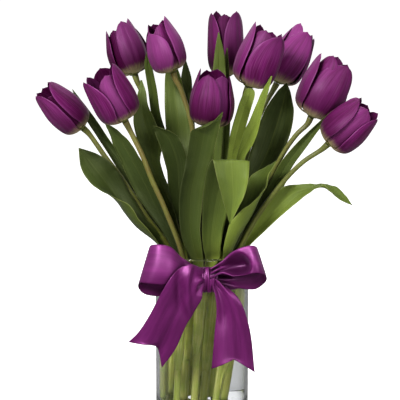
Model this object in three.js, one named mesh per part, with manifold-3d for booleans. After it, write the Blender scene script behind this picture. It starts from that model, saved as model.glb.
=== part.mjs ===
// Ten purple tulips with their leaves in a clear glass cylinder, tied round with a satin bow.
// Units are millimetres, +Z is up, -Y faces the front. The origin is the middle of the vase's base.
import * as THREE from 'three';
import { mergeVertices } from 'three/addons/utils/BufferGeometryUtils.js';
import Module from 'manifold-3d';

// Vase and water
const VASE_RADIUS = 47.5;
const VASE_WALL = 3;
const VASE_HEIGHT = 157;
const VASE_FLOOR = 5;
const VASE_SIDES = 36;
const WATER_LEVEL = 126;
const GAP = 0.3;

// Stems
const STEM_RADIUS_LOW = 3.4;
const STEM_RADIUS_TOP = 3.0;
const STEM_SIDES = 8;
const STEM_RINGS = 8;

// Leaves
const LEAF_THICKNESS = 0.9;
const LEAF_WAVE = 1.1;
const LEAF_ACROSS = 4;
const SHEATH_RISE = 26;

// Blooms: six petals in two whorls
const PETAL_THICKNESS = 0.9;
const PETAL_ALONG = 5;
const PETAL_ACROSS = 4;
const WHORL_STEP = 2.1;

// Ribbon
const RIBBON_THICKNESS = 0.9;
const BAND_LOW = 125;
const BAND_HIGH = 149;

// Where each stem's cut end stands on the vase's floor: x, y
const STEM_FEET = {
  a: [-31, 4],
  b: [-23, -21],
  c: [-20, 24],
  d: [-14, 2],
  e: [-7, -25],
  f: [0, 28],
  g: [1, -7],
  h: [9, 14],
  i: [17, -1],
  j: [12, -21],
};

// Each stem's line above the vase floor, and the place and tip of its bloom
const STEM_LINES = {
  a: [
    [-30, 2, 150], [-58, -8, 196.3], [-82.1, -9, 234.4], [-97.2, -8, 254.7],
    [-113.4, -6, 275.9], [-121.4, -5, 284.9],
  ],
  b: [
    [-18, -31, 150], [-37.1, -36, 206.8], [-50, -39, 236.5], [-58.8, -41, 259.9],
    [-70.6, -42, 287.1], [-76.4, -43, 296.2],
  ],
  c: [
    [-15, 23, 150], [-24.8, 22, 186.3], [-43.4, 29.9, 237.4], [-54.8, 39, 288.3],
    [-63.1, 44.8, 318.9], [-69.3, 46.4, 334.3],
  ],
  d: [
    [-9, 1, 150], [-6.1, -1, 210.6], [-7.1, -3, 262.2], [-12.2, -3, 294.9],
    [-22.2, -2, 325.2], [-29.3, -2, 341.4],
  ],
  e: [[0, -30, 150], [1, -40, 206.4], [5.9, -47, 252.7], [6.9, -47, 277.7], [6.9, -46, 290.5]],
  f: [
    [5, 28, 150], [11.4, 31.7, 216.2], [20.7, 34.8, 247.1], [26, 43.8, 277.4],
    [26.1, 55.4, 307.4], [25, 60, 331],
  ],
  g: [
    [13, -8, 150], [18.3, -9, 206.7], [27.3, -10, 247.8], [36.3, -11, 285.6],
    [42.2, -12, 310], [46.2, -12, 326.1],
  ],
  h: [
    [23, 17, 150], [37.3, 30.5, 216.4], [50.9, 44.6, 266.8], [62.4, 50.2, 297.5],
    [71.7, 53, 315], [77.9, 54, 325.3],
  ],
  i: [
    [35, 3, 150], [57, -4, 205.9], [81.7, -14, 259.5], [95.6, -17, 280.2],
    [104.5, -18, 290.4], [109.4, -18, 297.5],
  ],
  j: [
    [30, -20, 150], [40.1, -26, 170.5], [56.2, -32, 200], [81.8, -39, 235.5],
    [100.4, -44, 255.3], [116.9, -48, 268.8], [124.7, -50, 274],
  ],
};
const BLOOM_PLACES = {
  a: { base: [-120.4, -5, 284.9], tip: [-163.5, -16, 328.5], width: 37.5, mouth: 0.62 },
  b: { base: [-76.4, -43, 296.2], tip: [-101.5, -50, 346.4], width: 45.8, mouth: 0.8 },
  c: { base: [-69.3, 46.4, 334.3], tip: [-86.8, 54, 385.4], width: 42.5, mouth: 0.66 },
  d: { base: [-29.3, -2, 341.4], tip: [-46.3, -2, 392.7], width: 38.7, mouth: 0.6 },
  e: { base: [6.9, -46, 290.5], tip: [12.7, -50, 345.4], width: 45.8, mouth: 0.66 },
  f: { base: [25, 60, 331], tip: [23.9, 64, 398.3], width: 37.5, mouth: 0.84 },
  g: { base: [46.2, -12, 327.1], tip: [67.9, -14, 385.4], width: 44.6, mouth: 0.74 },
  h: { base: [77.9, 54, 325.3], tip: [106.9, 60, 379.9], width: 41.6, mouth: 0.62 },
  i: { base: [109.4, -18, 297.5], tip: [136.7, -22, 355.1], width: 46.5, mouth: 0.62 },
  j: { base: [124.7, -50, 274], tip: [164.9, -60, 311.8], width: 43.6, mouth: 0.7 },
};
const LEAVES = [
  { stem: 'a', name: 'left_broad', steps: 8, rows: [
    [-37.8, -5, 153.4, -33.8, 2, 155.3, -2],
    [-44.7, -13, 168.2, -38.8, -3, 168.6, -5],
    [-63.4, -30, 194.6, -54.8, -12, 189.7, -10],
    [-75.2, -35, 212.7, -68.8, -15, 213.8, -12],
    [-100.1, -36, 225, -80.8, -17, 236.5, -8],
    [-115.1, -34, 236.8, -89.6, -20, 249.1, -4],
    [-122.2, -31, 250.6, -103.6, -22, 259.5, -2],
    [-123.8, -27, 267.2, -122.4, -26, 267.1, 0],
  ] },
  { stem: 'a', name: 'left_narrow', rows: [
    [-37, 10, 154.9, -29.9, 12, 153.5, -2],
    [-53.5, 14, 181.4, -41.2, 16, 177.9, -3],
    [-73.9, 14.6, 218.7, -59.6, 17, 217.3, -3],
    [-92.1, 13.4, 249.9, -76.8, 14.6, 246.6, -3],
    [-106.5, 17.1, 272.1, -93.2, 16.9, 268, -3],
    [-119.9, 21.1, 292.3, -107.5, 19.4, 289.4, -2],
    [-129.2, 25.3, 311.4, -118.9, 23.3, 304.4, -1],
    [-133.3, 27.2, 321.5, -132.3, 27.2, 321, 0],
  ] },
  { stem: 'a', name: 'back_left', rows: [
    [-39.1, 10, 157, -32, 18, 154.5, -2],
    [-55.9, 29.1, 190.4, -39.4, 33.2, 186.6, -3],
    [-68.7, 44.6, 214.4, -50.1, 50.4, 211.4, -3],
    [-81.8, 60.8, 231.1, -65.2, 66.8, 230.3, -2],
    [-87.5, 74.2, 242.1, -85.4, 75.2, 242, 0],
  ] },
  { stem: 'b', name: 'front_left', rows: [
    [-28.3, -26, 159.2, -20.2, -30, 158.9, -2],
    [-41.4, -26, 184.8, -24.2, -34, 178, -3],
    [-58.5, -25, 209.1, -37.2, -34, 204.4, -4],
    [-69.5, -25, 226.4, -45.1, -35, 226.9, -4],
    [-80.3, -28, 250.2, -57.9, -37, 250.3, -3],
    [-89, -32, 270.9, -69.8, -39, 270.7, -2],
    [-93.7, -35, 286.3, -82.6, -40, 285.8, -1],
    [-97.1, -37, 293.5, -95.5, -38, 293.6, 0],
  ] },
  { stem: 'c', name: 'back_narrow', rows: [
    [-15.6, 30, 153.5, -6.2, 29, 153.6, -2],
    [-24.9, 33.2, 186.6, -12.4, 32.1, 186.8, -2],
    [-35.2, 35.8, 231.3, -23.8, 35.8, 231.3, -2],
    [-43.4, 36.4, 262.6, -33.1, 36.6, 264.6, -2],
    [-51.4, 30.2, 291.3, -42.2, 30.3, 293.4, -2],
    [-55.3, 24, 320.8, -46.1, 24, 320.8, -2],
    [-58.6, 17.6, 346.9, -50.9, 17.6, 345.9, -1],
    [-55.3, 12.8, 363.5, -53.8, 12.8, 363.5, 0],
  ] },
  { stem: 'c', name: 'left_dark', rows: [
    [-19.6, 19, 153.3, -9.3, 18, 154.5, -2],
    [-34, 17.7, 188.1, -19.5, 15.6, 190.5, -3],
    [-50.2, 10, 227.6, -37.8, 7.6, 232.1, -3],
    [-58.2, 7.9, 245.5, -44.9, 6.7, 249.7, -3],
    [-66.2, 7.1, 271.3, -46.9, 5.6, 269.4, -4],
    [-69.8, 9, 289.5, -50.9, 7.5, 289.7, -3],
    [-68.3, 14, 306.4, -55, 12.5, 306.5, -2],
    [-65.4, 20.8, 319, -57.2, 19.2, 319.2, -1],
    [-63, 25.6, 330.9, -61.4, 25.6, 330.9, 0],
  ] },
  { stem: 'c', name: 'back_centre', rows: [
    [-16.6, 30, 153.5, -6.2, 32, 154.2, -2],
    [-29.3, 52.2, 192.1, -10.4, 54.2, 191.8, -3],
    [-35.8, 71.8, 221.1, -14.7, 73.8, 220.8, -3],
    [-33.9, 88.4, 242.4, -16.9, 90.4, 242.1, -2],
    [-28.7, 102.2, 256.8, -26.6, 102.2, 256.8, 0],
  ] },
  { stem: 'd', name: 'light_tall', rows: [
    [-12.3, 7, 157.5, 0, 7, 157.5, -2],
    [-22.5, 6.7, 194, -5.1, 7.8, 193.8, -3],
    [-30.7, 11.5, 234.7, -8.2, 11.5, 234.7, -3],
    [-35.9, 21.3, 269.6, -9.2, 21.3, 269.6, -4],
    [-38, 25.8, 294.9, -12.3, 26, 296.9, -3],
    [-38.5, 32, 318, -18.5, 32, 320, -3],
    [-37.5, 36.8, 337.1, -23.6, 36.8, 338.2, -2],
    [-32.9, 41.6, 352.2, -31.4, 41.6, 352.2, 0],
  ] },
  { stem: 'd', name: 'right_dark', rows: [
    [-8.2, 12, 156.6, 2.1, 12, 156.6, -2],
    [-14.4, 17.9, 192.2, -2, 17.9, 192.2, -2],
    [-18.5, 26, 237.9, -5.1, 26, 237.9, -2],
    [-20.6, 30.7, 278.8, -7.2, 30.8, 280.9, -2],
    [-21.6, 34.8, 309.5, -9.8, 35.1, 313.6, -2],
    [-21.6, 35.2, 332.1, -10.8, 35.2, 332.1, -1],
    [-18, 35.2, 350.6, -16.4, 35.2, 350.6, 0],
  ] },
  { stem: 'd', name: 'bent_tip', rows: [
    [-16.3, -8, 160.1, -5.1, -10, 160.5, -2],
    [-24.4, -12, 189.7, -10.2, -14, 190, -3],
    [-33.4, -15, 220.9, -14.2, -17, 221.2, -4],
    [-36.3, -17, 248.7, -14.1, -18, 248.9, -4],
    [-42.3, -19, 268.3, -20.1, -19, 270.3, -3],
    [-47.2, -21, 281.7, -30.2, -21, 282.7, -2],
    [-50.2, -23, 288.9, -49.2, -23, 289.4, 0],
  ] },
  { stem: 'e', name: 'front_tall', rows: [
    [-9.1, -39, 153.3, 1, -39, 153.3, -2],
    [-16.1, -43, 167.3, 0, -43, 167.3, -3],
    [-21.5, -48, 187.4, -2, -47, 187.3, -4],
    [-22.9, -52, 213.2, -0.1, -50, 212.9, -4],
    [-21.4, -54, 230.6, 1.9, -53, 230.5, -4],
    [-17.9, -56, 246.9, 6.4, -56, 247.9, -4],
    [-14.9, -57, 263.9, 10.8, -59, 264.2, -4],
    [-12.4, -61, 279.3, 14.6, -66, 281.9, -4],
    [-9.9, -66, 288.8, 17.5, -75, 295.7, -3],
    [4.8, -74, 293.6, 19.3, -81, 304.2, -1],
    [19.3, -84, 308.9, 20.3, -84, 309.4, 0],
  ] },
  { stem: 'e', name: 'folded', steps: 13, rows: [
    [4, -37, 154, 17.1, -33, 154.3, -3],
    [1, -41, 169, 19.1, -37, 170.3, -3],
    [0, -45, 186.9, 22, -42, 189.5, -3],
    [0.4, -50, 210.9, 27.8, -49, 214.8, -3],
    [1.9, -54, 231.6, 35.6, -54, 235.6, -3],
    [4.9, -59, 249.3, 43.4, -59, 250.3, -2],
    [8.3, -64, 257.9, 45.7, -64, 257.9, -1],
    [10.7, -69, 259, 46.5, -69, 258.5, 0],
    [14.1, -73, 245.2, 45.5, -73, 243.2, 2],
    [19.1, -74, 226.5, 41.6, -75, 226.7, 3],
    [23.5, -73, 210.5, 34.3, -74, 211.6, 2],
    [27, -71, 197.2, 28, -71, 197.2, 0],
  ] },
  { stem: 'f', name: 'tip_left', rows: [
    [2.1, 20, 155.2, 11.4, 19, 155.4, -2],
    [3.1, 15.7, 192.5, 16.5, 14.6, 192.7, -2],
    [5.1, 12.8, 234.5, 18.5, 12.8, 234.5, -2],
    [7.2, 14.6, 280.7, 21.5, 14.6, 280.7, -2],
    [9.2, 17.6, 316.3, 24.5, 17.6, 316.3, -2],
    [10.7, 19.2, 335.5, 24.5, 19.2, 335.5, -2],
    [12.7, 20.8, 356.9, 22.9, 20.8, 356.9, -1],
    [16.3, 22.4, 379.7, 17.5, 22.4, 379.7, 0],
  ] },
  { stem: 'f', name: 'tip_right', rows: [
    [6.2, 22, 154.9, 15.5, 20, 155.2, -2],
    [10.3, 20.2, 191.8, 21.7, 19, 192, -2],
    [14.4, 20.5, 233.4, 25.7, 19.2, 233.6, -2],
    [17.5, 23.4, 279.7, 28.8, 23.4, 279.7, -2],
    [18.5, 27.2, 315.3, 29.8, 27.2, 315.3, -2],
    [19, 28.8, 334.7, 28.2, 28.8, 334.7, -1],
    [25.4, 30.4, 363.3, 26.4, 30.4, 363.3, 0],
  ] },
  { stem: 'f', name: 'back', rows: [
    [2.1, 33, 152.9, 12.5, 34, 152.8, -2],
    [1.1, 53.6, 186.6, 20, 53.6, 186.6, -3],
    [4.3, 73.8, 220.8, 27.5, 73.8, 220.8, -3],
    [10.7, 91.4, 250.6, 29.9, 91.4, 250.6, -2],
    [19.3, 105.8, 270.3, 21.5, 105.8, 270.3, 0],
  ] },
  { stem: 'g', name: 'blade_left', rows: [
    [7.1, -13, 159, 17.3, -16, 159.5, -2],
    [12.1, -16, 190.3, 24.3, -18, 192.7, -2],
    [18.2, -18, 223.4, 30.2, -20, 225.7, -2],
    [25.1, -20, 254.2, 34.2, -22, 254.5, -2],
    [28.1, -21, 279.6, 41.1, -23, 278.9, -2],
    [35, -21, 304.8, 48.5, -23, 304, -2],
    [41, -20, 320.8, 53, -22, 321, -1],
    [45.5, -20, 326.9, 50, -20, 327.4, 0],
  ] },
  { stem: 'g', name: 'blade_right', rows: [
    [12.3, -3, 157.2, 22.4, -8, 159.1, -2],
    [19.3, -9, 193.3, 32.4, -14, 197.2, -2],
    [24.3, -14, 227.9, 38.3, -18, 231.6, -2],
    [29.2, -18, 253.9, 43.2, -22, 256.5, -2],
    [36.2, -20, 271.4, 51.6, -25, 272, -2],
    [45.1, -22, 288.8, 57, -27, 288.4, -2],
    [52, -24, 305.2, 60.9, -28, 305.6, -2],
    [58.8, -27, 322.5, 65.8, -29, 322.7, -1],
    [68.6, -31, 339.8, 69.9, -31, 339.8, 0],
  ] },
  { stem: 'h', name: 'right_broad', rows: [
    [22.7, 16, 155.9, 33, 12, 157.7, -2],
    [35, 18.4, 200.5, 50.4, 13.9, 203.2, -3],
    [42.2, 20.3, 230.4, 64.7, 15.3, 233.1, -4],
    [49.4, 23.3, 256.9, 81, 16.3, 253.7, -5],
    [57.6, 26.6, 283.4, 91.1, 17.5, 279.3, -5],
    [65.8, 27.9, 301.9, 94.1, 18.4, 298.7, -4],
    [76.9, 25.6, 318.6, 91.5, 19.1, 314.1, -2],
    [85.7, 19.2, 328.4, 86.8, 19.2, 328.4, 0],
  ] },
  { stem: 'h', name: 'back_right', rows: [
    [24.9, 25, 154.3, 35.2, 22, 157, -2],
    [37.7, 46.2, 193, 56.4, 44.4, 195.4, -3],
    [50.6, 66, 224, 73.7, 64, 224.3, -3],
    [63.6, 83.4, 251.6, 84.8, 83.2, 249.5, -3],
    [75.8, 99.8, 271, 79, 99.8, 271, 0],
  ] },
  { stem: 'i', name: 'right_narrow', rows: [
    [34.9, 4, 156, 41.9, -6, 157.7, -2],
    [48.9, -6, 194.9, 61, -10, 192.5, -3],
    [65.8, -13, 225.7, 77.8, -16, 223.1, -3],
    [79.5, -20, 252.2, 91.5, -22, 248.4, -3],
    [94.1, -27, 271.3, 106.1, -29, 270.5, -3],
    [106.8, -31, 284.8, 115.7, -33, 285, -2],
    [118.4, -36, 296.4, 123.3, -37, 294.5, -1],
    [130.3, -42, 307.5, 131.3, -42, 307, 0],
  ] },
  { stem: 'i', name: 'back_side', rows: [
    [37, 8, 157.3, 42, 2, 158.4, -2],
    [55.7, 18, 193.2, 67.7, 8.9, 192.6, -3],
    [68.5, 36.6, 215.5, 82.8, 29.1, 214.5, -3],
    [81.6, 53, 234.3, 91.8, 48.8, 232.7, -2],
    [89.3, 64.4, 245.5, 91.4, 64.4, 245.5, 0],
  ] },
  { stem: 'j', name: 'front_folded', steps: 8, rows: [
    [27.3, -22, 160.5, 21.1, -36, 161, -5],
    [31.3, -22, 181.1, 25.9, -44, 186.8, -10],
    [36.3, -22, 201.5, 33.8, -48, 202.6, -13],
    [42.3, -23, 224.1, 47.7, -49, 214.8, -13],
    [51.2, -25, 240.7, 61.6, -48, 227.7, -8],
    [64.1, -31, 249.6, 66.6, -46, 241.5, -3],
    [73.2, -40, 255.8, 74.2, -40, 255.3, 0],
  ] },
  { stem: 'j', name: 'right_drooping', steps: 11, rows: [
    [34.4, -23, 158.7, 40.7, -12, 157.7, -3],
    [42.4, -24, 172.2, 50.6, -20, 169.4, -4],
    [53.4, -26, 190.9, 70.5, -28, 190.2, -5],
    [66.4, -27, 211.5, 86.2, -34, 205.4, -5],
    [79.3, -29, 227, 99, -38, 217.2, -5],
    [94.2, -31, 231.4, 107.8, -41, 224.7, -4],
    [109.1, -33, 232.6, 116.6, -43, 230, -3],
    [121.1, -34, 231.8, 122.4, -45, 230.8, -2],
    [133.1, -35, 228.9, 128.5, -45, 224.3, -2],
    [143, -37, 221.1, 139.7, -42, 215.8, -1],
    [150, -39, 211.8, 151, -39, 210.8, 0],
  ] },
];

// Turn of the first outer petal from the front, in degrees
const BLOOM_TURNS = { a: 62, b: 60, c: 30, d: -40, e: -15, f: 52, g: 42, h: 10, i: 10, j: 60 };

// What sets single petals apart: 0 to 2 are the outer ones, 3 to 5 the inner
const PETALS = {
  a: {
    0: { wide: [1.3, 1], lift: [2.2, 0.4] },
    1: { long: 0.9 },
    2: { wide: [1, 1.3], lift: [0.4, 2.2] },
    3: { long: 0.93 },
    4: { long: 0.93 },
    5: { long: 0.8, sink: 4.0 },
  },
  b: {
    0: { turn: 72, long: 1.04, twist: -4 },
    2: { turn: -66, long: 0.86, flare: 1.5, full: 0.97, wide: [1, 1.25], lift: [0.5, 1.8] },
    4: { turn: -112, long: 0.98 },
    5: { turn: 16, long: 0.93, sink: 0.2, wide: [0.9, 0.9] },
  },
  c: {
    0: { turn: 24, wide: [0.92, 0.92], long: 1.03 },
    2: { long: 0.97 },
    3: { turn: 80, long: 1.06, sink: 0 },
    4: { long: 0.9 },
    5: { long: 0.92, sink: 2.4 },
  },
  d: {
    0: { turn: -58, long: 0.8, wide: [1, 1.35], lift: [0.4, 1.6] },
    1: { turn: 76, long: 1.05, twist: -4 },
    3: { turn: 22, long: 0.95, sink: 0.6 },
    5: { turn: -105, long: 0.98 },
  },
  e: {
    0: { turn: -18, long: 0.98, wide: [0.85, 1.15], twist: -2 },
    1: { turn: 98, long: 0.95 },
    3: { turn: 38, long: 0.97, sink: 0.4 },
    5: { turn: -80, long: 1.06, sink: 0 },
  },
  f: {
    0: { turn: 48, wide: [1.12, 1.12], long: 1.01 },
    5: { long: 0.97, sink: 2.4 },
  },
  g: {
    0: { long: 0.96, wide: [1.45, 1], flare: 1.5, lift: [1.4, 0.3] },
    2: { long: 1.04, lift: [0.3, 1.6] },
    5: { long: 0.98 },
  },
  h: {
    0: { turn: -12, twist: 5, wide: [1.05, 1.05], lift: [0.4, 1.7] },
    1: { turn: 105, long: 0.95 },
    3: { turn: 60, long: 0.98, sink: 0.4 },
    5: { turn: -50, long: 1.06 },
  },
  i: {
    0: { turn: 14, twist: 6, wide: [1.35, 1] },
    2: { turn: -80, flare: 3.5, full: 1.07, wide: [0.9, 0.9], lift: [0.4, 2] },
    3: { turn: 75, long: 0.9, sink: 0 },
    5: { turn: -40, long: 1.04 },
  },
  j: {
    2: { lift: [0.4, 1.6] },
    5: { sink: 0, full: 1.03 },
  },
};

// Ribbon edges from the knot outwards: one edge, then the other
const LOOP_LEFT = [
  [0.9, -59, 150.9, 0.9, -59, 137.8],
  [-10, -62, 155.5, -12, -64, 136.7],
  [-19.9, -64, 162.9, -23.8, -69, 136.7],
  [-29.7, -68, 173.2, -37.6, -74, 137.1],
  [-41.5, -70, 176.5, -51.4, -76, 138.5],
  [-50.1, -64, 175, -62, -68, 137.5],
  [-51.8, -57, 170.8, -62.8, -58, 129.5],
  [-44.9, -53, 166, -55, -54, 122.6],
  [-30, -52, 159.8, -36, -53, 121.4],
  [-14, -53, 151.8, -18, -54, 127.7],
  [2, -54, 147, 2, -54, 135.8],
];
const LOOP_RIGHT = [
  [8.9, -60, 151.1, 8.9, -60, 140],
  [18.8, -62, 157.5, 19.8, -65, 146],
  [27.7, -64, 166.5, 31.6, -70, 144.9],
  [37.5, -67, 172.5, 43.3, -76, 147.6],
  [47.4, -69, 175.3, 55.1, -79, 149.6],
  [53.9, -65, 173.2, 63.2, -71, 145.1],
  [54.7, -56, 166.6, 63.2, -58, 136.6],
  [47.8, -52, 161.8, 53.9, -53, 128.5],
  [35.9, -52, 157.7, 41.9, -52.5, 128.4],
  [23.9, -53, 151.8, 27.9, -53, 131.5],
  [8.9, -54, 147, 9.9, -54, 136.8],
];
const TAIL_LEFT = [
  [-1, -60, 151.1, 3.9, -60, 133.9],
  [-11.9, -71, 156.7, 0.9, -66, 129],
  [-26.7, -79, 149.6, -0.1, -70, 120.7],
  [-38.5, -81, 133, -7, -71, 107.8],
  [-51.5, -76, 107.8, -16, -69, 93.2],
  [-62.7, -70, 89.3, -27, -66, 69.1],
  [-73.5, -66, 77.6, -40.3, -64, 50.4],
];
const TAIL_RIGHT = [
  [6.9, -59, 139.8, 14.9, -59, 136.8],
  [10.4, -63, 134.5, 24.8, -61, 131.1],
  [13.4, -66, 122.9, 35.8, -62, 120.1],
  [14.4, -67, 106.9, 43.3, -62, 102.8],
  [11.9, -66, 84.4, 48.4, -61, 81.2],
  [9, -63, 51, 52.1, -60, 47.2],
];
const NOTCH_LEFT = [-44.9, -66, 76.2];
const NOTCH_RIGHT = [31, -61, 60.8];
const KNOT_AT = [6.7, -55.2, 138.1];

const wasm = await Module();
wasm.setup();

// Edges shorter than this are taken out of fused pieces
const SMALLEST = 0.25;

const vec = (a) => new THREE.Vector3(a[0], a[1], a[2]);

// A small seeded random draw, the same on every run
function seeded(seed) {
  let s = seed >>> 0;
  return () => {
    s = (s + 0x6d2b79f5) >>> 0;
    let t = s;
    t = Math.imul(t ^ (t >>> 15), t | 1);
    t ^= t + Math.imul(t ^ (t >>> 7), t | 61);
    return ((t ^ (t >>> 14)) >>> 0) / 4294967296;
  };
}

// A smooth curve through values given at even or stated steps
function through(xs, ys) {
  const n = xs.length;
  const slope = [];
  for (let i = 0; i < n; i++) {
    const a = Math.max(i - 1, 0);
    const b = Math.min(i + 1, n - 1);
    slope.push((ys[b] - ys[a]) / (xs[b] - xs[a]));
  }
  return (x) => {
    let i = 0;
    while (i < n - 2 && x > xs[i + 1]) i++;
    const h = xs[i + 1] - xs[i];
    const t = Math.min(Math.max((x - xs[i]) / h, 0), 1);
    const t2 = t * t;
    const t3 = t2 * t;
    const from = ys[i] * (2 * t3 - 3 * t2 + 1) + slope[i] * h * (t3 - 2 * t2 + t);
    const to = ys[i + 1] * (3 * t2 - 2 * t3) + slope[i + 1] * h * (t3 - t2);
    return from + to;
  };
}

function solidFrom(points, triangles) {
  const positions = [];
  for (const t of triangles) {
    for (const i of t) positions.push(points[i].x, points[i].y, points[i].z);
  }
  const geometry = new THREE.BufferGeometry();
  geometry.setAttribute('position', new THREE.Float32BufferAttribute(positions, 3));
  return geometry;
}

// The signed volume tells which way the faces look
function volumeOf(points, triangles) {
  let sum = 0;
  const cross = new THREE.Vector3();
  for (const [a, b, c] of triangles) {
    sum += points[a].dot(cross.crossVectors(points[b], points[c]));
  }
  return sum / 6;
}

function toManifold(geometry) {
  const plain = geometry.clone();
  plain.deleteAttribute('normal');
  plain.deleteAttribute('uv');
  const merged = mergeVertices(plain, 1e-4);
  const mesh = new wasm.Mesh({
    numProp: 3,
    vertProperties: new Float32Array(merged.attributes.position.array),
    triVerts: new Uint32Array(merged.index.array),
  });
  return new wasm.Manifold(mesh);
}

function toGeometry(manifold) {
  const mesh = manifold.getMesh();
  const geometry = new THREE.BufferGeometry();
  geometry.setAttribute('position', new THREE.BufferAttribute(new Float32Array(mesh.vertProperties), 3));
  geometry.setIndex(new THREE.BufferAttribute(new Uint32Array(mesh.triVerts), 1));
  return geometry;
}

// One blade: a grid of points down its middle surface, thickened to both sides.
// Both faces are split along the same diagonals, so they can't cross.
function blade(grid, thickness) {
  const rows = grid.length;
  const cols = grid[0].length;
  const points = [];
  for (const side of [1, -1]) {
    for (let i = 0; i < rows; i++) {
      for (let j = 0; j < cols; j++) {
        const along = grid[Math.min(i + 1, rows - 1)][j].clone().sub(grid[Math.max(i - 1, 0)][j]);
        const across = grid[i][Math.min(j + 1, cols - 1)].clone().sub(grid[i][Math.max(j - 1, 0)]);
        const normal = new THREE.Vector3().crossVectors(along, across).normalize();
        points.push(grid[i][j].clone().addScaledVector(normal, (side * thickness) / 2));
      }
    }
  }
  const at = (side, i, j) => side * rows * cols + i * cols + j;
  const triangles = [];
  for (let i = 0; i < rows - 1; i++) {
    for (let j = 0; j < cols - 1; j++) {
      triangles.push([at(0, i, j), at(0, i + 1, j), at(0, i + 1, j + 1)]);
      triangles.push([at(0, i, j), at(0, i + 1, j + 1), at(0, i, j + 1)]);
      triangles.push([at(1, i, j), at(1, i + 1, j + 1), at(1, i + 1, j)]);
      triangles.push([at(1, i, j), at(1, i, j + 1), at(1, i + 1, j + 1)]);
    }
  }
  const rim = (a, b) => {
    triangles.push([at(0, ...a), at(0, ...b), at(1, ...b)]);
    triangles.push([at(0, ...a), at(1, ...b), at(1, ...a)]);
  };
  for (let i = 0; i < rows - 1; i++) {
    rim([i + 1, 0], [i, 0]);
    rim([i, cols - 1], [i + 1, cols - 1]);
  }
  for (let j = 0; j < cols - 1; j++) {
    rim([0, j], [0, j + 1]);
    rim([rows - 1, j + 1], [rows - 1, j]);
  }
  if (volumeOf(points, triangles) < 0) {
    for (const t of triangles) t.reverse();
  }
  return toManifold(solidFrom(points, triangles));
}

// Rings of points joined into a closed rod or knob
function rod(rings) {
  const sides = rings[0].length;
  const points = rings.flat();
  const triangles = [];
  for (let i = 0; i < rings.length - 1; i++) {
    for (let j = 0; j < sides; j++) {
      const k = (j + 1) % sides;
      triangles.push([i * sides + j, i * sides + k, (i + 1) * sides + k]);
      triangles.push([i * sides + j, (i + 1) * sides + k, (i + 1) * sides + j]);
    }
  }
  const last = (rings.length - 1) * sides;
  for (let j = 1; j < sides - 1; j++) {
    triangles.push([0, j + 1, j]);
    triangles.push([last, last + j, last + j + 1]);
  }
  if (volumeOf(points, triangles) < 0) {
    for (const t of triangles) t.reverse();
  }
  return toManifold(solidFrom(points, triangles));
}

function ring(centre, axis, radius, sides) {
  const front = new THREE.Vector3(0, -1, 0);
  front.addScaledVector(axis, -front.dot(axis)).normalize();
  const side = new THREE.Vector3().crossVectors(axis, front);
  const out = [];
  for (let j = 0; j < sides; j++) {
    const a = ((j + 0.5) / sides) * Math.PI * 2;
    const p = centre.clone().addScaledVector(front, radius * Math.cos(a));
    out.push(p.addScaledVector(side, radius * Math.sin(a)));
  }
  return out;
}

// Joins what grows together, fills what that seals, and drops loose scrap
function fuse(pieces) {
  const joined = wasm.Manifold.union(pieces).simplify(SMALLEST);
  const bodies = joined.decompose();
  bodies.sort((a, b) => b.volume() - a.volume());
  return bodies[0];
}

// Stems
const bloomAxis = (id) => {
  const { base, tip } = BLOOM_PLACES[id];
  return vec(tip).sub(vec(base)).normalize();
};

function stemCurve(id) {
  const axis = bloomAxis(id);
  const base = vec(BLOOM_PLACES[id].base);
  const foot = new THREE.Vector3(STEM_FEET[id][0], STEM_FEET[id][1], VASE_FLOOR + GAP);
  const line = STEM_LINES[id].map(vec);
  const middle = foot.clone().lerp(line[0], 0.5);
  const upper = line.slice(0, -1).filter((p) => p.distanceTo(base) > 14);
  const neck = base.clone().addScaledVector(axis, -8);
  const end = base.clone().addScaledVector(axis, -GAP);
  return new THREE.CatmullRomCurve3([foot, middle, ...upper, neck, end], false, 'centripetal');
}

function stemRings(id, extra, low) {
  const curve = stemCurve(id);
  const axis = bloomAxis(id);
  const up = new THREE.Vector3(0, 0, 1);
  const rings = [];
  if (low) rings.push(ring(curve.getPointAt(0).setZ(low), up, STEM_RADIUS_LOW + extra, STEM_SIDES));
  for (let i = 0; i <= STEM_RINGS; i++) {
    const t = i / STEM_RINGS;
    const centre = curve.getPointAt(t);
    let along = curve.getTangentAt(t);
    let radius = THREE.MathUtils.lerp(STEM_RADIUS_LOW, STEM_RADIUS_TOP, t) + extra;
    if (i === 0) along = up;
    if (i === STEM_RINGS) {
      along = axis;
      radius += 0.4;
    }
    rings.push(ring(centre, along, radius, STEM_SIDES));
  }
  return rings;
}

// The height on a stem's line is found by walking along it
function stemAt(id, height) {
  const curve = stemCurve(id);
  for (let i = 0; i <= 200; i++) {
    const p = curve.getPointAt(i / 200);
    if (p.z >= height) return p;
  }
  return curve.getPointAt(1);
}

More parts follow.
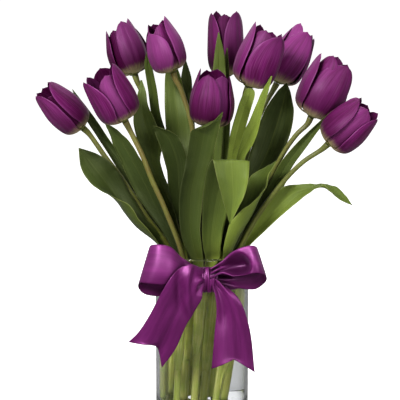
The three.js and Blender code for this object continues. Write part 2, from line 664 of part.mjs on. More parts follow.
// Leaves: each is given by its two edges from root to tip, and how far its rib stands out
function leafGrid({ stem, rows, steps }, seed) {
  const random = seeded(seed);
  const left = rows.map((r) => new THREE.Vector3(r[0], r[1], r[2]));
  const right = rows.map((r) => new THREE.Vector3(r[3], r[4], r[5]));
  const fold = rows.map((r) => r[6]);
  // The sheath that clasps the stem, below the first row
  const lowest = (left[0].z + right[0].z) / 2;
  const root = stemAt(stem, lowest - SHEATH_RISE);
  const clasp = stemAt(stem, lowest - SHEATH_RISE * 0.55);
  const lean = left[0].clone().add(right[0]).multiplyScalar(0.5).sub(stemAt(stem, lowest));
  lean.z = 0;
  lean.clampLength(0, 6);
  const side = right[0].clone().sub(left[0]).setZ(0).normalize();
  left.unshift(
    root.clone().addScaledVector(side, -2.6),
    clasp.clone().addScaledVector(side, -4.4).addScaledVector(lean, 0.45),
  );
  right.unshift(
    root.clone().addScaledVector(side, 2.6),
    clasp.clone().addScaledVector(side, 4.4).addScaledVector(lean, 0.45),
  );
  fold.unshift(0, 0);
  const count = left.length;
  const places = left.map((p, i) => i);
  const curve = (get) => through(places, places.map(get));
  const tracks = [left, right].map((line) => [
    curve((i) => line[i].x),
    curve((i) => line[i].y),
    curve((i) => line[i].z),
  ]);
  const foldAt = curve((i) => fold[i]);
  const phase = [random() * 6.28, random() * 6.28];
  const waves = 1.5 + random();
  const grid = [];
  const total = steps ?? Math.min(count - 1, 6);
  const place = (track, u) => new THREE.Vector3(track[0](u), track[1](u), track[2](u));
  for (let i = 0; i <= total; i++) {
    const u = (i / total) * (count - 1);
    const l = place(tracks[0], u);
    const r = place(tracks[1], u);
    const ahead = Math.min(u + 0.2, count - 1);
    const behind = Math.max(u - 0.2, 0);
    const up = place(tracks[0], ahead).add(place(tracks[1], ahead));
    up.sub(place(tracks[0], behind)).sub(place(tracks[1], behind));
    const across = r.clone().sub(l);
    const normal = new THREE.Vector3().crossVectors(across, up).normalize();
    const width = across.length();
    const row = [];
    const free = Math.min(Math.max((u - 2) / 2, 0), 1) * Math.min(width / 12, 1);
    for (let j = 0; j <= LEAF_ACROSS; j++) {
      const v = (2 * j) / LEAF_ACROSS - 1;
      const wave = Math.sin((waves * 6.28 * u) / count + phase[v < 0 ? 0 : 1]);
      const off = foldAt(u) * (1 - v * v) + LEAF_WAVE * free * wave * Math.abs(v) ** 3;
      row.push(l.clone().lerp(r, (v + 1) / 2).addScaledVector(normal, off));
    }
    grid.push(row);
  }
  return grid;
}

// Petals: radius and height along the petal as shares of the bloom's, and width as a share
const PETAL_T = [0, 0.12, 0.25, 0.42, 0.6, 0.8, 1];
const PETAL_HIGH = through(PETAL_T, [0.03, 0.05, 0.14, 0.32, 0.54, 0.78, 1]);
const WIDE_T = [0, 0.12, 0.25, 0.42, 0.52, 0.62, 0.74, 0.85, 0.93, 1];
const PETAL_WIDE = through(WIDE_T, [0.16, 0.46, 0.78, 0.98, 1, 0.96, 0.84, 0.62, 0.38, 0.1]);

function ease(from, to, x) {
  const t = Math.min(Math.max((x - from) / (to - from), 0), 1);
  return t * t * (3 - 2 * t);
}

function petalGrid(id, petal) {
  const place = BLOOM_PLACES[id];
  const { inner, full = 1, flare = 0, twist = 0, wide = [1, 1] } = petal;
  const sink = petal.sink ?? (inner ? 1.2 : 0);
  const angle = THREE.MathUtils.degToRad(petal.turn);
  const axis = bloomAxis(id);
  const base = vec(place.base);
  const high = base.distanceTo(vec(place.tip));
  const radius = (place.width / 2 - PETAL_THICKNESS / 2 - (inner ? WHORL_STEP : 0)) * full;
  const front = new THREE.Vector3(0, -1, 0);
  front.addScaledVector(axis, -front.dot(axis)).normalize();
  const side = new THREE.Vector3().crossVectors(axis, front);
  const mouth = place.mouth * petal.mouth;
  const out = through(PETAL_T, [0.13, 0.56, 0.88, 1, 0.99, 0.5 * (0.97 + mouth) + 0.02, mouth]);
  const reach = radius * (inner ? 1.84 : 1.72);
  const columns = inner ? PETAL_ACROSS - 1 : PETAL_ACROSS;
  const steps = inner ? PETAL_ALONG - 1 : PETAL_ALONG;
  const grid = [];
  for (let i = 0; i <= steps; i++) {
    const t = i / steps;
    const r = radius * out(t) + flare * ease(0.45, 1, t) - sink * Math.sin(Math.PI * t);
    const h = high * petal.long * PETAL_HIGH(t) + (inner ? 1.8 * (1 - t) ** 3 : 0);
    const bend = Math.max(r * 1.03, 6) * (1 + 0.25 * ease(0.6, 1, t));
    const row = [];
    for (let j = 0; j <= columns; j++) {
      const v = (2 * j) / columns - 1;
      const edge = v < 0 ? 0 : 1;
      const a = (v * reach * wide[edge] * PETAL_WIDE(t)) / 2 / bend;
      const raise = petal.lift[edge] * Math.abs(v) ** 3 * Math.sin(Math.PI * t);
      const radial = r - bend + (bend + raise) * Math.cos(a);
      const sideways = (bend + raise) * Math.sin(a) + twist * t * t;
      const p = base.clone().addScaledVector(axis, h);
      p.addScaledVector(front, radial * Math.cos(angle) - sideways * Math.sin(angle));
      p.addScaledVector(side, radial * Math.sin(angle) + sideways * Math.cos(angle));
      row.push(p);
    }
    grid.push(row);
  }
  return grid;
}

function bloom(id, seed) {
  const random = seeded(seed);
  const axis = bloomAxis(id);
  const base = vec(BLOOM_PLACES[id].base);
  const level = (h, r) => ring(base.clone().addScaledVector(axis, h), axis, r, 7);
  const pieces = [rod([level(0, 3.2), level(1.8, 6.6), level(4.5, 7.8), level(8.5, 4.6)])];
  for (let k = 0; k < 6; k++) {
    const inner = k > 2;
    const petal = {
      inner,
      turn: BLOOM_TURNS[id] + k * 120 + (inner ? 60 : 0) + (random() - 0.5) * 10,
      mouth: (inner ? 0.92 : 1) * (0.94 + 0.12 * random()),
      long: (inner ? 1.0 : 0.97) * (0.97 + 0.06 * random()),
      lift: inner ? [0, 0] : [random() * 1.3, random() * 1.3],
      ...PETALS[id][k],
    };
    pieces.push(blade(petalGrid(id, petal), PETAL_THICKNESS));
  }
  return fuse(pieces);
}

function lathe(profile, sides) {
  const points = profile.map(([r, z]) => new THREE.Vector2(r, z));
  const geometry = new THREE.LatheGeometry(points, sides);
  geometry.rotateX(Math.PI / 2);
  return geometry;
}

// Colours, one material for each piece
const GREEN = 0x4f6b2c;
const PURPLE = 0x6e2369;
const group = new THREE.Group();
group.name = 'tulips_in_vase';

function add(name, geometry, colour, options = {}) {
  const flat = geometry.index ? geometry.toNonIndexed() : geometry;
  flat.computeVertexNormals();
  const material = new THREE.MeshStandardMaterial({ color: colour, roughness: 0.6, ...options });
  const mesh = new THREE.Mesh(flat, material);
  mesh.name = name;
  group.add(mesh);
}

const bore = VASE_RADIUS - VASE_WALL;
const vaseProfile = [
  [0, 0],
  [VASE_RADIUS - 1.5, 0],
  [VASE_RADIUS, 1.5],
  [VASE_RADIUS, VASE_HEIGHT - 1.2],
  [VASE_RADIUS - 1, VASE_HEIGHT],
  [bore + 1, VASE_HEIGHT],
  [bore, VASE_HEIGHT - 1.2],
  [bore, VASE_FLOOR + 3],
  [bore - 3, VASE_FLOOR],
  [0, VASE_FLOOR],
];
const vase = toManifold(lathe(vaseProfile, VASE_SIDES));
add('vase', toGeometry(vase), 0xcdd6d4, { transparent: true, opacity: 0.4 });

const waterProfile = [
  [0, VASE_FLOOR + GAP],
  [bore - 3.4, VASE_FLOOR + GAP],
  [bore - GAP, VASE_FLOOR + 3.4],
  [bore - GAP, WATER_LEVEL],
  [0, WATER_LEVEL],
];
let water = toManifold(lathe(waterProfile, VASE_SIDES));
const ids = Object.keys(STEM_LINES);
for (const id of ids) {
  water = water.subtract(rod(stemRings(id, GAP + 0.1, VASE_FLOOR - 6)));
}
add('water', toGeometry(water.simplify(0.01)), 0xdfe8ea, { transparent: true, opacity: 0.3 });

let seed = 11;
for (const id of ids) {
  const pieces = [rod(stemRings(id, 0))];
  for (const leaf of LEAVES.filter((l) => l.stem === id)) {
    pieces.push(blade(leafGrid(leaf, seed), LEAF_THICKNESS));
    seed += 1;
  }
  add(`stem_${id}`, toGeometry(fuse(pieces)), GREEN);
}
for (const id of ids) {
  add(`bloom_${id}`, toGeometry(bloom(id, seed)), PURPLE);
  seed += 1;
}

// Ribbon: band round the glass, knot, two loops and two notched tails
function ribbonGrid(rows, steps, notch) {
  const curve = (k) => through(rows.map((r, i) => i), rows.map((r) => r[k]));
  const track = [0, 1, 2, 3, 4, 5].map(curve);
  const grid = [];
  for (let i = 0; i <= steps; i++) {
    const u = (i / steps) * (rows.length - 1);
    const l = new THREE.Vector3(track[0](u), track[1](u), track[2](u));
    const r = new THREE.Vector3(track[3](u), track[4](u), track[5](u));
    const row = [];
    for (let j = 0; j <= 2; j++) {
      const v = j - 1;
      const p = l.clone().lerp(r, j / 2);
      if (i === steps && notch) {
        const middle = vec(notch).sub(l.clone().lerp(r, 0.5));
        p.addScaledVector(middle, 1 - Math.abs(v));
      }
      row.push(p);
    }
    grid.push(row);
  }
  return grid;
}

const knot = new THREE.SphereGeometry(1, 10, 7);
knot.scale(8.5, 7.2, 12.5);
knot.rotateX(-0.1);
knot.translate(KNOT_AT[0], KNOT_AT[1], KNOT_AT[2]);
const bandProfile = [
  [VASE_RADIUS + 0.35, BAND_LOW],
  [VASE_RADIUS + 1.9, BAND_LOW],
  [VASE_RADIUS + 1.9, BAND_HIGH],
  [VASE_RADIUS + 0.35, BAND_HIGH],
  [VASE_RADIUS + 0.35, BAND_LOW],
];
const ribbon = fuse([
  toManifold(lathe(bandProfile, VASE_SIDES)),
  toManifold(knot),
  blade(ribbonGrid(LOOP_LEFT, 11), RIBBON_THICKNESS),
  blade(ribbonGrid(LOOP_RIGHT, 11), RIBBON_THICKNESS),
  blade(ribbonGrid(TAIL_LEFT, 6, NOTCH_LEFT), RIBBON_THICKNESS),
  blade(ribbonGrid(TAIL_RIGHT, 5, NOTCH_RIGHT), RIBBON_THICKNESS),
]);
add('ribbon', toGeometry(ribbon), 0x7a2b74, { roughness: 0.4 });

export default group;
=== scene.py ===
"""Ten purple tulips in a clear glass cylinder with a satin bow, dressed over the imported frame.

Lengths in the tables and shapes are millimetres, as on the part, and are scaled to metres as meshes
are made. Materials, lights and the camera are in metres.
"""

import math

import bpy
import numpy as np
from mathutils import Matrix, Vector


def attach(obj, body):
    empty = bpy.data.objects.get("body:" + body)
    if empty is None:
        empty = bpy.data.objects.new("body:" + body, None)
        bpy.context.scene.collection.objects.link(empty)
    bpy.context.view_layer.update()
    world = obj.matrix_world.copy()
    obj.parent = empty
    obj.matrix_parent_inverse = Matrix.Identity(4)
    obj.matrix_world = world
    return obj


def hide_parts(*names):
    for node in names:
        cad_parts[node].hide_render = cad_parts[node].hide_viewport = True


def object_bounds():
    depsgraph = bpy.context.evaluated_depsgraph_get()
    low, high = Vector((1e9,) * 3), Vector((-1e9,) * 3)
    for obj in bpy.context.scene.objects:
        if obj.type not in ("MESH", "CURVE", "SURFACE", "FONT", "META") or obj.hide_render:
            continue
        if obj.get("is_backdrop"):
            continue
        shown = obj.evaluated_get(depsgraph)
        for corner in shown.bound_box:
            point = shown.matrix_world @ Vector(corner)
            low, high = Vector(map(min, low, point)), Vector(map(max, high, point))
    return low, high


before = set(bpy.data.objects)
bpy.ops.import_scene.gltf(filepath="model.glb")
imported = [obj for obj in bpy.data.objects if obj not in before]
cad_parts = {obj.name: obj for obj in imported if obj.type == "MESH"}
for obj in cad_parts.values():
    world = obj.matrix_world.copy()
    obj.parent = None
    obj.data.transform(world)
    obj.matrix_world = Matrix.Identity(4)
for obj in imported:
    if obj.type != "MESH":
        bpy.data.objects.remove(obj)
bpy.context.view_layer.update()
MM = 0.001
# random phases are drawn from a full turn, rounded
ROUND = 6.28

# Camera: a long lens a little above the bunch, at the photograph's angle
LOOK_DOWN = math.radians(8.5)
FAR = 2.0
AIM_X, AIM_Z = -0.00204, 0.2105
cam_data = bpy.data.cameras.new("camera")
cam_data.lens = 176.5
cam_data.sensor_width = 36.0
cam_data.clip_end = 20.0
camera = bpy.data.objects.new("camera", cam_data)
camera.location = (AIM_X, -FAR * math.cos(LOOK_DOWN), AIM_Z + FAR * math.sin(LOOK_DOWN))
camera.rotation_euler = (math.pi / 2 - LOOK_DOWN, 0, 0)
bpy.context.scene.collection.objects.link(camera)
bpy.context.scene.camera = camera

# Vase and water; the rounds are radii
VASE_RADIUS = 47.5
VASE_WALL = 3.0
VASE_HEIGHT = 157.0
VASE_FLOOR = 5.0
WATER_LEVEL = 126.0
BORE = VASE_RADIUS - VASE_WALL
GAP = 0.3
VASE_SIDES = 144
FOOT_ROUND, FLOOR_ROUND, RIM_ROUND, WATER_ROUND = 1.6, 1.2, 0.9, 1.1
# how far the water climbs the glass
WATER_RISE = 1.5

# Stalks, leaves, petals and ribbon
# a stalk's radius at its foot and under its bloom
STEM_LOW, STEM_TOP = 3.4, 2.5
STEM_SIDES = 20
# a stalk's line keeps clear of its bloom by the first, and runs straight into it over the second
NECK_CLEAR, NECK_STRAIGHT = 14, 8
# how far below its first row a leaf leaves its stalk
SHEATH_RISE = 26.0
LEAF_WAVE = 1.1
# how much further in the inner petals stand
WHORL_STEP = 2.1
PETAL_COUNT = STAMEN_COUNT = 6
LEAF_THICK, SHEATH_THICK, PETAL_THICK, RIBBON_THICK = 0.8, 0.6, 0.75, 0.7
BAND_LOW = 125.0
# the radius that the band's length is worked out from
BAND_RADIUS = 48.7
BAND_TURNED_UNDER = 13.5
# how far off the glass the turned-under layer and the outer one lie
BAND_UNDER, BAND_OVER = 0.65, 1.35
# the one length here in metres
RIBBON_WIDE = 0.038
FIRST_SEED = 11

# a course says how much deeper (below 0) or lighter (above 0) a piece is painted along its length,
# and how much lighter it grows from its left edge to its right one; partly its own colour, partly painted
# shade and painted light
PLAIN = ((0, 0), 0)

STEM_FEET = {
    "a": (-31, 4), "b": (-23, -21), "c": (-20, 24), "d": (-14, 2), "e": (-7, -25),
    "f": (0, 28), "g": (1, -7), "h": (9, 14), "i": (17, -1), "j": (12, -21),
}
STEM_TONES = {
    "a": 0.3, "b": 0.75, "c": 0.2, "d": 0.8, "e": 0.2, "f": 0.5, "g": 0.1, "h": 0.1, "i": 0.4, "j": 0.15,
}
# where each wrapped leaf base starts and ends, and the side it closes on, in degrees
SHEATHS = {
    "a": (52, 134, 40), "b": (40, 132, -10), "c": (30, 130, 20), "d": (46, 134, 30), "e": (58, 132, -25),
    "f": (24, 130, 0), "g": (36, 136, -20), "h": (44, 132, 35), "i": (66, 134, -30), "j": (50, 134, 10),
}
# bare leaf bases between the stalks: foot, top, half width and tone
SPARE_BASES = {
    "d": [((-8.5, 9, 7), (-6, 6, 150), 4.6, 0.35), ((-24, 8, 9), (-20, 6, 148), 4.8, 0.5)],
    "g": [((6.5, 3, 7), (10, 3, 150), 4.4, 0.3)],
    "h": [((11.5, 6, 7), (26, 10, 150), 4.0, 0.2)],
}
# the torn strip of leaf on stalk j: left and right edge
TORN = [
    (16, -21, 74, 26, -15, 76), (16.5, -22, 60, 26, -15, 62), (16.5, -22, 48, 24.5, -17, 50),
    (16, -22, 37, 21.5, -20, 38), (16, -22.5, 28, 18.6, -22, 28), (16, -22.5, 20, 16.6, -22.5, 20),
]
# base, tip, width, mouth, turn, and a level that deepens (below 0) or lightens (above 0) the whole bloom:
# partly the bloom's own depth of colour, partly painted shade and painted light
BLOOMS = {
    "a": ((-120.4, -5, 284.9), (-163.5, -16, 328.5), 37.5, 0.62, 62, -0.3),
    "b": ((-76.4, -43, 296.2), (-101.5, -50, 346.4), 45.8, 0.8, 60, -0.15),
    "c": ((-69.3, 46.4, 334.3), (-86.8, 54, 385.4), 42.5, 0.66, 30, -0.42),
    "d": ((-29.3, -2, 341.4), (-46.3, -2, 392.7), 38.7, 0.6, -40, -0.03),
    "e": ((6.9, -46, 290.5), (12.7, -50, 345.4), 45.8, 0.66, -15, -0.4),
    "f": ((25, 60, 331), (23.9, 64, 398.3), 37.5, 0.84, 52, -0.42),
    "g": ((46.2, -12, 327.1), (67.9, -14, 385.4), 44.6, 0.74, 42, 0.15),
    "h": ((77.9, 54, 325.3), (106.9, 60, 379.9), 41.6, 0.62, 10, 0.25),
    "i": ((109.4, -18, 297.5), (136.7, -22, 355.1), 46.5, 0.62, 10, -0.22),
    "j": ((124.7, -50, 274), (164.9, -60, 311.8), 43.6, 0.7, 60, -0.25),
}
# the petals' course: deeper at the foot, lighter higher up; partly their own colour, partly painted shade and
# painted sheen
PETAL_SHADE_COURSE = np.array([-0.55, -0.6, -0.45, -0.2, 0.0, 0.05, -0.1])
# a petal's height, width and distance from the axis, from its foot to its tip
PETAL_T = [0, 0.12, 0.25, 0.42, 0.6, 0.8, 1]
PETAL_HIGH = [0.03, 0.05, 0.14, 0.32, 0.54, 0.78, 1]
PETAL_WIDE_T = [0, 0.12, 0.25, 0.42, 0.52, 0.62, 0.74, 0.85, 0.93, 0.975, 1]
PETAL_WIDE = [0.16, 0.46, 0.78, 0.98, 1, 0.97, 0.86, 0.67, 0.46, 0.28, 0.04]
# what sets single petals apart; 0 to 2 are the outer ones, 3 to 5 the inner; a tone given here paints
# a petal deeper towards 0 as painted shade where it is sunk in the bloom, lighter towards 1 as painted light
# on a lit front petal
PETALS = {
    "a": {0: dict(wide=(1.12, 1), lift=(2.2, 0.4)), 2: dict(wide=(1, 1.12), lift=(0.4, 2.2)),
          1: dict(long=0.9), 5: dict(long=0.8, sink=4.0, tone=0), 3: dict(long=0.93), 4: dict(long=0.93)},
    "b": {0: dict(turn=72, long=1.04, twist=-4), 4: dict(turn=-112, long=0.98),
          2: dict(turn=-66, long=0.97, flare=1.5, full=0.97, wide=(1, 1.25), lift=(0.5, 1.8)),
          5: dict(turn=16, long=0.93, sink=0.2, wide=(0.9, 0.9))},
    "c": {0: dict(turn=20, tone=1, wide=(0.76, 0.76), long=1.03), 3: dict(turn=80, long=1.06, sink=0),
          4: dict(long=0.9), 5: dict(long=0.92, sink=2.4, tone=0), 2: dict(long=0.97)},
    "d": {0: dict(turn=-58, long=0.83, wide=(1, 1.55), lift=(0.4, 1.6)),
          1: dict(turn=76, long=1.05, twist=-4), 3: dict(turn=22, long=0.95, sink=0.6),
          5: dict(turn=-105, long=0.98, tone=0)},
    "e": {0: dict(turn=-20, long=0.98, wide=(0.8, 0.86), twist=-1, tone=0.6, lift=(0.9, 1.2)),
          1: dict(turn=98, long=0.95), 3: dict(turn=38, long=0.97, sink=0.4),
          5: dict(turn=-138, sink=0, long=1.0),
          2: dict(turn=-90, long=1.04, full=0.96, wide=(1, 0.8), flare=0.8, tone=0.3)},
    "f": {0: dict(turn=48, tone=1, wide=(1.12, 1.12), long=1.01), 5: dict(long=0.97, sink=2.4, tone=0)},
    "g": {0: dict(long=0.96, wide=(1.45, 1), flare=1.5, lift=(1.4, 0.3)),
          2: dict(long=1.04, lift=(0.3, 1.6)), 5: dict(long=0.98)},
    "h": {0: dict(turn=-12, twist=5, wide=(1.05, 1.05), lift=(0.4, 1.7)), 1: dict(turn=105, long=0.95),
          3: dict(turn=60, long=0.98, sink=0.4), 5: dict(turn=-50, long=1.06)},
    "i": {0: dict(turn=14, twist=6, wide=(1.35, 1)), 5: dict(turn=-40, long=1.04),
          2: dict(turn=-80, flare=3.5, full=1.07, wide=(0.9, 0.9), lift=(0.4, 2)),
          3: dict(turn=75, long=0.9, sink=0)},
    "j": {2: dict(lift=(0.4, 1.6)), 5: dict(sink=0, full=1.03)},
}
# receptacle, pistil, stamen, anther and knot core: distance along the axis, and radius
HEART = [(0, 3.3), (0.8, 5.2), (1.9, 6.6), (3.2, 7.4), (4.6, 7.7), (6.4, 6.8), (8.4, 4.6)]
PISTIL_LINE = [(6, 2.2), (10, 2.4), (18, 2.6), (24, 2.3), (26, 3.4), (28, 3.2), (29, 1.2)]
STAMEN_LINE = [(0, 0.9), (8, 0.7), (13, 0.5)]
ANTHER_LINE = [(0, 0.6), (1.5, 1.5), (6, 1.6), (9.5, 1.1), (11, 0.4)]
CORE_LINE = [(0, 3.0), (0.8, 4.6), (3, 5.4), (11.8, 5.4), (14, 4.6), (14.8, 3.0)]
KNOT_AT = (6.7, -55.2, 138.1)
KNOT_HALF = (9.2, 7.0, 12.2)
# the radius of the band's outer face, which the back of the knot reaches
BAND_FACE = 48.9
# how far the wrap turns to each side, in degrees, and the size of that angle's cosine
WRAP_TURN, WRAP_BACK = 128, 0.616
NOTCH_LEFT = (-44.9, -66, 76.2)
NOTCH_RIGHT = (31, -61, 60.8)
# each stalk's line from a height of 150 mm up to its bloom
STEM_LINES = {
    "a": [(-30, 2, 150), (-58, -8, 196.3), (-82.1, -9, 234.4), (-97.2, -8, 254.7), (-113.4, -6, 275.9),
          (-121.4, -5, 284.9)],
    "b": [(-18, -31, 150), (-37.1, -36, 206.8), (-50, -39, 236.5), (-58.8, -41, 259.9), (-70.6, -42, 287.1),
          (-76.4, -43, 296.2)],
    "c": [(-15, 23, 150), (-24.8, 22, 186.3), (-43.4, 29.9, 237.4), (-54.8, 39, 288.3),
          (-63.1, 44.8, 318.9), (-69.3, 46.4, 334.3)],
    "d": [(-9, 1, 150), (-6.1, -1, 210.6), (-7.1, -3, 262.2), (-12.2, -3, 294.9), (-22.2, -2, 325.2),
          (-29.3, -2, 341.4)],
    "e": [(0, -30, 150), (1, -40, 206.4), (5.9, -47, 252.7), (6.9, -47, 277.7), (6.9, -46, 290.5)],
    "f": [(5, 28, 150), (11.4, 31.7, 216.2), (20.7, 34.8, 247.1), (26, 43.8, 277.4), (26.1, 55.4, 307.4),
          (25, 60, 331)],
    "g": [(13, -8, 150), (18.3, -9, 206.7), (27.3, -10, 247.8), (36.3, -11, 285.6), (42.2, -12, 310),
          (46.2, -12, 326.1)],
    "h": [(23, 17, 150), (37.3, 30.5, 216.4), (50.9, 44.6, 266.8), (62.4, 50.2, 297.5), (71.7, 53, 315),
          (77.9, 54, 325.3)],
    "i": [(35, 3, 150), (57, -4, 205.9), (81.7, -14, 259.5), (95.6, -17, 280.2), (104.5, -18, 290.4),
          (109.4, -18, 297.5)],
    "j": [(30, -20, 150), (40.1, -26, 170.5), (56.2, -32, 200), (81.8, -39, 235.5), (100.4, -44, 255.3),
          (116.9, -48, 268.8), (124.7, -50, 274)],
}
